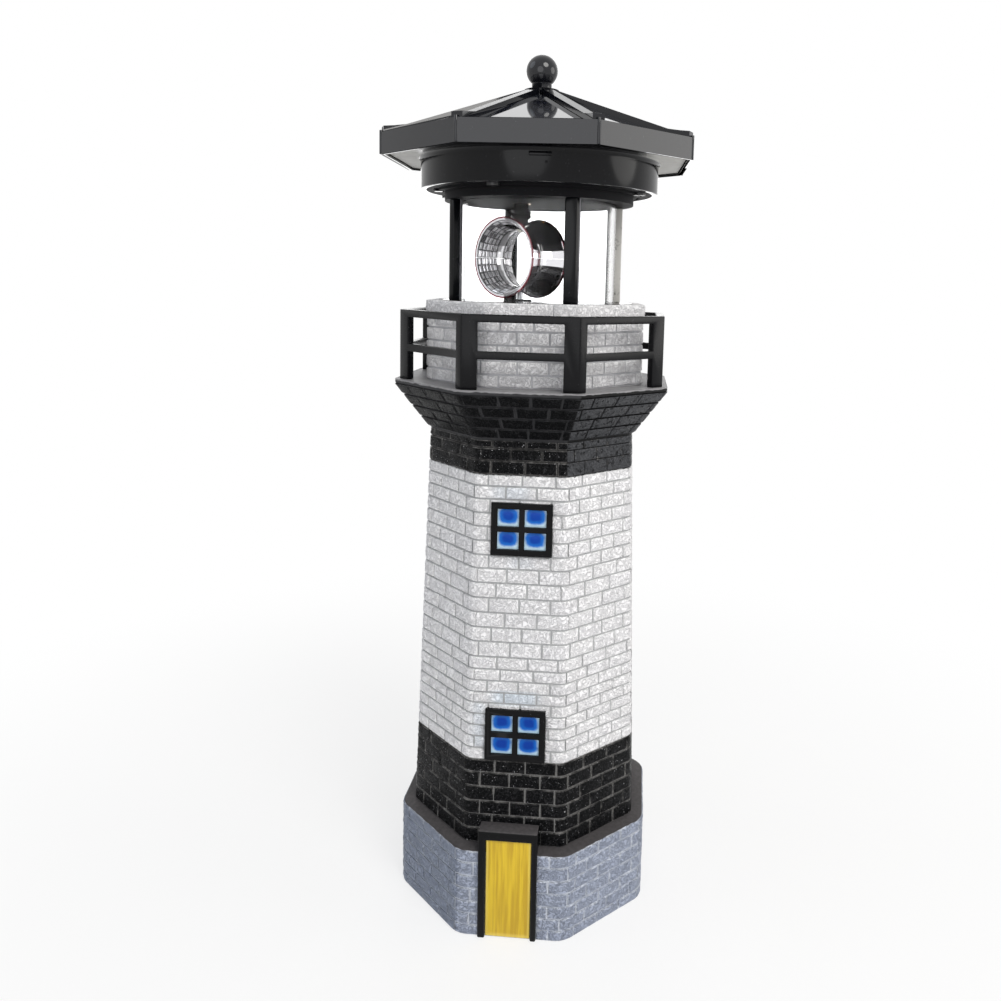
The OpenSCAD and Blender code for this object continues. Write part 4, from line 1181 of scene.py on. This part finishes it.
finish_table = {
    "steel": ("plain_steel", (196, 197, 200), (170, 171, 175), 1.0, 0.28, 1500.0, 0.2),
    "natural_plastic": ("natural_plastic", (226, 224, 216), (210, 208, 200), 0.0, 0.45, 900.0, 0.2),
    "motor_can": ("motor_plating", (188, 190, 196), (164, 166, 172), 1.0, 0.22, 1200.0, 0.15),
    "cell_can": ("cell_sleeve", (52, 140, 76), (44, 124, 66), 0.0, 0.3, 500.0, 0.15),
    "board": ("board_lacquer", (22, 92, 50), (16, 74, 40), 0.0, 0.35, 1600.0, 0.3),
    "bearing_brass": ("turned_brass", (206, 170, 92), (182, 146, 74), 1.0, 0.25, 1500.0, 0.2),
    "light": ("milky_light", (250, 248, 238), (240, 236, 222), 0.0, 0.25, 700.0, 0.1),
    "base_plug": ("base_plug_plastic", (40, 40, 42), (30, 30, 32), 0.0, 0.6, 800.0, 0.4),
    "pad_rubber": ("pad_rubber", (30, 30, 30), (22, 22, 22), 0.0, 0.85, 1800.0, 0.5),
}
finishes = {slot: plain_finish(*row) for slot, row in finish_table.items()}
finishes.update(black_plastic=gloss_black, clear_plastic=clear_plastic, solar_glass=panel_glass)
print("finishes:", len(finishes))

# %% [markdown]
# The reflector is two bright cups, back to back, in an upper and a lower half. Its inside
# has five rows of square facets between each rim and the smooth waist. The metal is thin
# on the facets and full on the outside, a dark red line runs round each rim, the facets
# are painted lighter or darker one by one as a painted reflection, and the grooves between
# the facets are painted nearly black as shade. The finish reads all of that from values
# on the points, because it has to follow the shape.

# %% Bright metal
chrome, tree, shader, place = new_material("reflector_chrome")
cloudy = speckle(tree, place, 240.0, 3.0)
colour = blend(tree, cloudy, screen(252, 251, 252), screen(232, 230, 234))
on_rim = step_up(tree, read_value(tree, "rim"), 0.35, 0.7)
# Painted reflection: each facet lighter or darker at random.
colour = blend(tree, read_value(tree, "painted_facet_light"), screen(70, 66, 70), colour)
# Painted shade: the grooves between facets nearly black.
colour = blend(tree, read_value(tree, "groove"), colour, screen(22, 20, 22))
set_colour(tree, shader, blend(tree, on_rim, colour, screen(128, 44, 58)))
metal = sums(tree, "MULTIPLY_ADD", read_value(tree, "outer"), 0.44, 0.56)
tree.links.new(metal, shader.inputs["Metallic"])
set_inputs(shader, {"Roughness": 0.07})
rough_surface(tree, shader, speckle(tree, place, 500.0, 2.0), 0.05, 0.1 * mm)
print("the rim's colour is read from the points:", chrome.name)

# %% [markdown]
# The cups could be two separate bowls. But one outline through both keeps the waist
# smooth, so the outline of the whole wall is drawn once and spun round in as many steps
# as there are facets. The outside steps out to a lip near each rim.

# %% Spin the reflector
rim_radius, half_length, waist_radius, wall = 13.1, 8.4, 9.3, 1.1
facet_count, facet_rows = 28, 5
facet_shares = [0.97 - 0.15 * k for k in range(facet_rows + 1)]
smooth_shares = [0.12, 0.0]
lip_start, lip_height, merge_gap = 0.93, 0.4, 0.001


def throat(share):
    return waist_radius + (rim_radius - wall - waist_radius) * abs(share) ** 1.6


def reflector_ring():
    bm = bmesh.new()
    inside = [1.0] + facet_shares + smooth_shares
    inside += [-share for share in reversed(inside[:-1])]
    outside = [1, lip_start, 0.91, 0.7, 0.45, 0.22, 0.12]
    outside = [-share for share in outside] + [0] + outside[::-1]
    outline = [bm.verts.new((throat(s), s * half_length, 0)) for s in inside]
    for share in outside:
        step = 0 if abs(share) > lip_start - merge_gap else lip_height
        outline.append(bm.verts.new((throat(share) + wall - step, share * half_length, 0)))
    edges = [bm.edges.new((a, b)) for a, b in zip(outline, outline[1:] + outline[:1])]
    bmesh.ops.spin(
        bm, geom=outline + edges, cent=(0, 0, 0), axis=(0, 1, 0), dvec=(0, 0, 0),
        angle=2 * math.pi, steps=facet_count, use_merge=True,
    )
    bmesh.ops.remove_doubles(bm, verts=bm.verts, dist=merge_gap)
    bmesh.ops.recalc_face_normals(bm, faces=bm.faces[:])
    return bm


print("waist and rim in mm:", throat(0), round(throat(1), 1))

# %% [markdown]
# A facet is a face of the inside that is inset twice and pushed back, so it has a sloping
# rim that catches the light. Facets get a painted reflection, lighter or darker at random,
# and differ a little in lean, which breaks up the reflection. Those over the port of the
# light are painted as dark as the grooves, as shade round the port. As with the bricks,
# which facet draws which value may change from one run to the next.

# %% Press the facets
groove_steps, lean = ((0.26, 0.18), (0.26, 0.12)), 0.03
facet_light_shares = (0.2, 0.8, 1.0, 1.0)
port_half_width, port_reach = 1.9, 0.68 * half_length


def ring_place(point):
    return math.hypot(point.x, point.z), abs(point.y) / half_length


def press_facets(bm, draw):
    facets = []
    for face in bm.faces:
        radius, share = ring_place(face.calc_center_median())
        if facet_shares[-1] < share < facet_shares[0] and radius < throat(share) + wall / 2:
            facets.append(face)
    groove = bm.verts.layers.float.new("groove")
    painted_facet_light = bm.verts.layers.float.new("painted_facet_light")
    outer = bm.verts.layers.float.new("outer")
    for v in bm.verts:
        v[painted_facet_light] = 1.0
        radius, share = ring_place(v.co)
        v[outer] = 1.0 if radius > throat(share) + wall / 3 else 0.0
    for v in {v for face in facets for v in face.verts}:
        v[groove] = 1.0
    for thickness, depth in groove_steps:
        bmesh.ops.inset_individual(
            bm, faces=facets, thickness=thickness, depth=depth, use_even_offset=True
        )
        for face in facets:
            middle = face.calc_center_median()
            beside_port = abs(middle.x) < port_half_width and abs(middle.y) < port_reach
            over_port = middle.z > 0 and beside_port
            # Facets over the port are painted dark as shade, the rest get a painted reflection.
            dark, share = (1.0, 0.2) if over_port else (0.0, draw.choice(facet_light_shares))
            for v in face.verts:
                v[groove], v[painted_facet_light] = dark, share
    for v in {v for face in facets for v in face.verts}:
        v.co += Vector((draw.uniform(-1, 1), draw.uniform(-1, 1), draw.uniform(-1, 1))) * lean


print("facets on the whole ring:", 2 * facet_count * facet_rows)

# %% [markdown]
# The light comes down through a hole in the top of the waist. The few faces that lie
# over the hole are taken out of both walls, the two openings are bridged, and the points
# round them are drawn onto a circle.

# %% Open the hole for the light
light_hole_radius = 1.8


def open_light_hole(bm):
    def over_hole(point):
        return point.z > waist_radius / 2 and point.xy.length < light_hole_radius

    over = [f for f in bm.faces if over_hole(f.calc_center_median())]
    bmesh.ops.delete(bm, geom=over, context="FACES")
    bmesh.ops.delete(bm, geom=[v for v in bm.verts if not v.link_faces], context="VERTS")
    open_edges = [e for e in bm.edges if len(e.link_faces) == 1 and e.verts[0].co.z > waist_radius / 2]
    bmesh.ops.bridge_loops(bm, edges=open_edges)
    for v in {v for e in open_edges for v in e.verts}:
        v.co.xy *= light_hole_radius / v.co.xy.length


print("hole for the light:", 2 * light_hole_radius, "mm across")

# %% [markdown]
# Both halves are cut from the same ring, a hair apart, and closed at the cut. The upper
# one gets the hole for the light and the lower one a short stub to its pin. At last the
# points of the lip are marked for the red line, and the half is turned to look where the
# photograph shows it and set on the spindle.

# %% Part the reflector in two halves
pin_low, pin_high = box_mm("pivot_pin")
reflector_level, parting, look_angle = 211.4, 0.03, math.radians(-34.7)
spindle = Vector(((pin_low.x + pin_high.x) / 2, (pin_low.y + pin_high.y) / 2, reflector_level))
stub_radius, stub_low, stub_high = 2.4, -waist_radius - wall - 0.7, -waist_radius - 0.4


def add_stub(bm):
    made = bmesh.ops.create_cone(
        bm, cap_ends=True, segments=24, radius1=stub_radius, radius2=stub_radius,
        depth=stub_high - stub_low,
    )
    bmesh.ops.translate(bm, vec=(0, 0, (stub_low + stub_high) / 2), verts=made["verts"])


def reflector_half(side):
    bm = reflector_ring()
    press_facets(bm, random.Random(21))
    bmesh.ops.bisect_plane(
        bm, geom=bm.verts[:] + bm.edges[:] + bm.faces[:], dist=snap,
        plane_co=(0, 0, parting * side), plane_no=(0, 0, side), clear_inner=True,
    )
    open_edges = [e for e in bm.edges if len(e.link_faces) == 1]
    bmesh.ops.holes_fill(bm, edges=open_edges, sides=0)
    if side > 0:
        open_light_hole(bm)
    else:
        add_stub(bm)
    bmesh.ops.recalc_face_normals(bm, faces=bm.faces[:])
    rim = bm.verts.layers.float.new("rim")
    for v in bm.verts:
        radius, share = ring_place(v.co)
        v[rim] = 1.0 if share > lip_start - merge_gap and radius > throat(share) + wall - 0.05 else 0.0
    turn_mesh(bm, look_angle, "Z")
    move_mesh(bm, spindle)
    return bm


for side, node in ((1, "reflector_upper"), (-1, "reflector_lower")):
    bm = reflector_half(side)
    finish_piece(node + "_bright", bm, "reflector", chrome, "reflector_chrome", [node], crease=6)

# %% [markdown]
# Two glossy collars sit on the spindle's sleeve over the reflector. The upper one leans a
# little. Each is a small circle that is turned round the spindle.

# %% Collars on the spindle
collar_radius, collar_reach = 0.8, 2.5
collars = bmesh.new()
for level, lean_angle in ((224.9, 0.0), (226.5, 9.0)):
    collar = bmesh.new()
    bmesh.ops.create_circle(collar, segments=14, radius=collar_radius)
    turn_mesh(collar, math.pi / 2, "X")
    move_mesh(collar, (collar_reach, 0, 0))
    bmesh.ops.spin(
        collar, geom=collar.verts[:] + collar.edges[:], cent=(0, 0, 0), axis=(0, 0, 1),
        dvec=(0, 0, 0), angle=2 * math.pi, steps=32, use_merge=True,
    )
    bmesh.ops.remove_doubles(collar, verts=collar.verts, dist=merge_gap)
    bmesh.ops.recalc_face_normals(collar, faces=collar.faces[:])
    turn_mesh(collar, math.radians(lean_angle), "Y")
    move_mesh(collar, (spindle.x, spindle.y, level))
    pour_into(collars, collar)
finish_piece("spindle_collars", collars, "reflector", gloss_black, "black_plastic")

# %% [markdown]
# The parts that were not replaced still need their finish. Each takes the one of its
# slot, apart from three: the screws of the cover are blackened, the cover is matt, and
# the spindle's sleeve is as glossy as its collars.

# %% Give every other part its finish
screw_row = ("blackened_screw", (26, 26, 28), (40, 40, 43), 0.0, 0.35, 1500.0, 0.3)
special_finishes = {
    "cover_screws": plain_finish(*screw_row),
    "underside_cover": plastic("matt_cover_black", (13, 13, 15), (22, 22, 25), 0.55, 0.7, 0.2, 0.10),
    "spindle_sleeve": gloss_black,
}
slot_of = {part["node"]: part["material_slot"] for part in frame["record"]["subparts"]}
replaced = {node for piece in made_pieces for node in piece.get("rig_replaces", [])}
kept = [node for node in frame["nodes"] if node not in replaced]
for node in kept:
    finish = special_finishes[node] if node in special_finishes else finishes[slot_of[node]]
    for material_slot in frame["nodes"][node].material_slots:
        material_slot.material = finish
print("kept parts with new finishes:", len(kept))
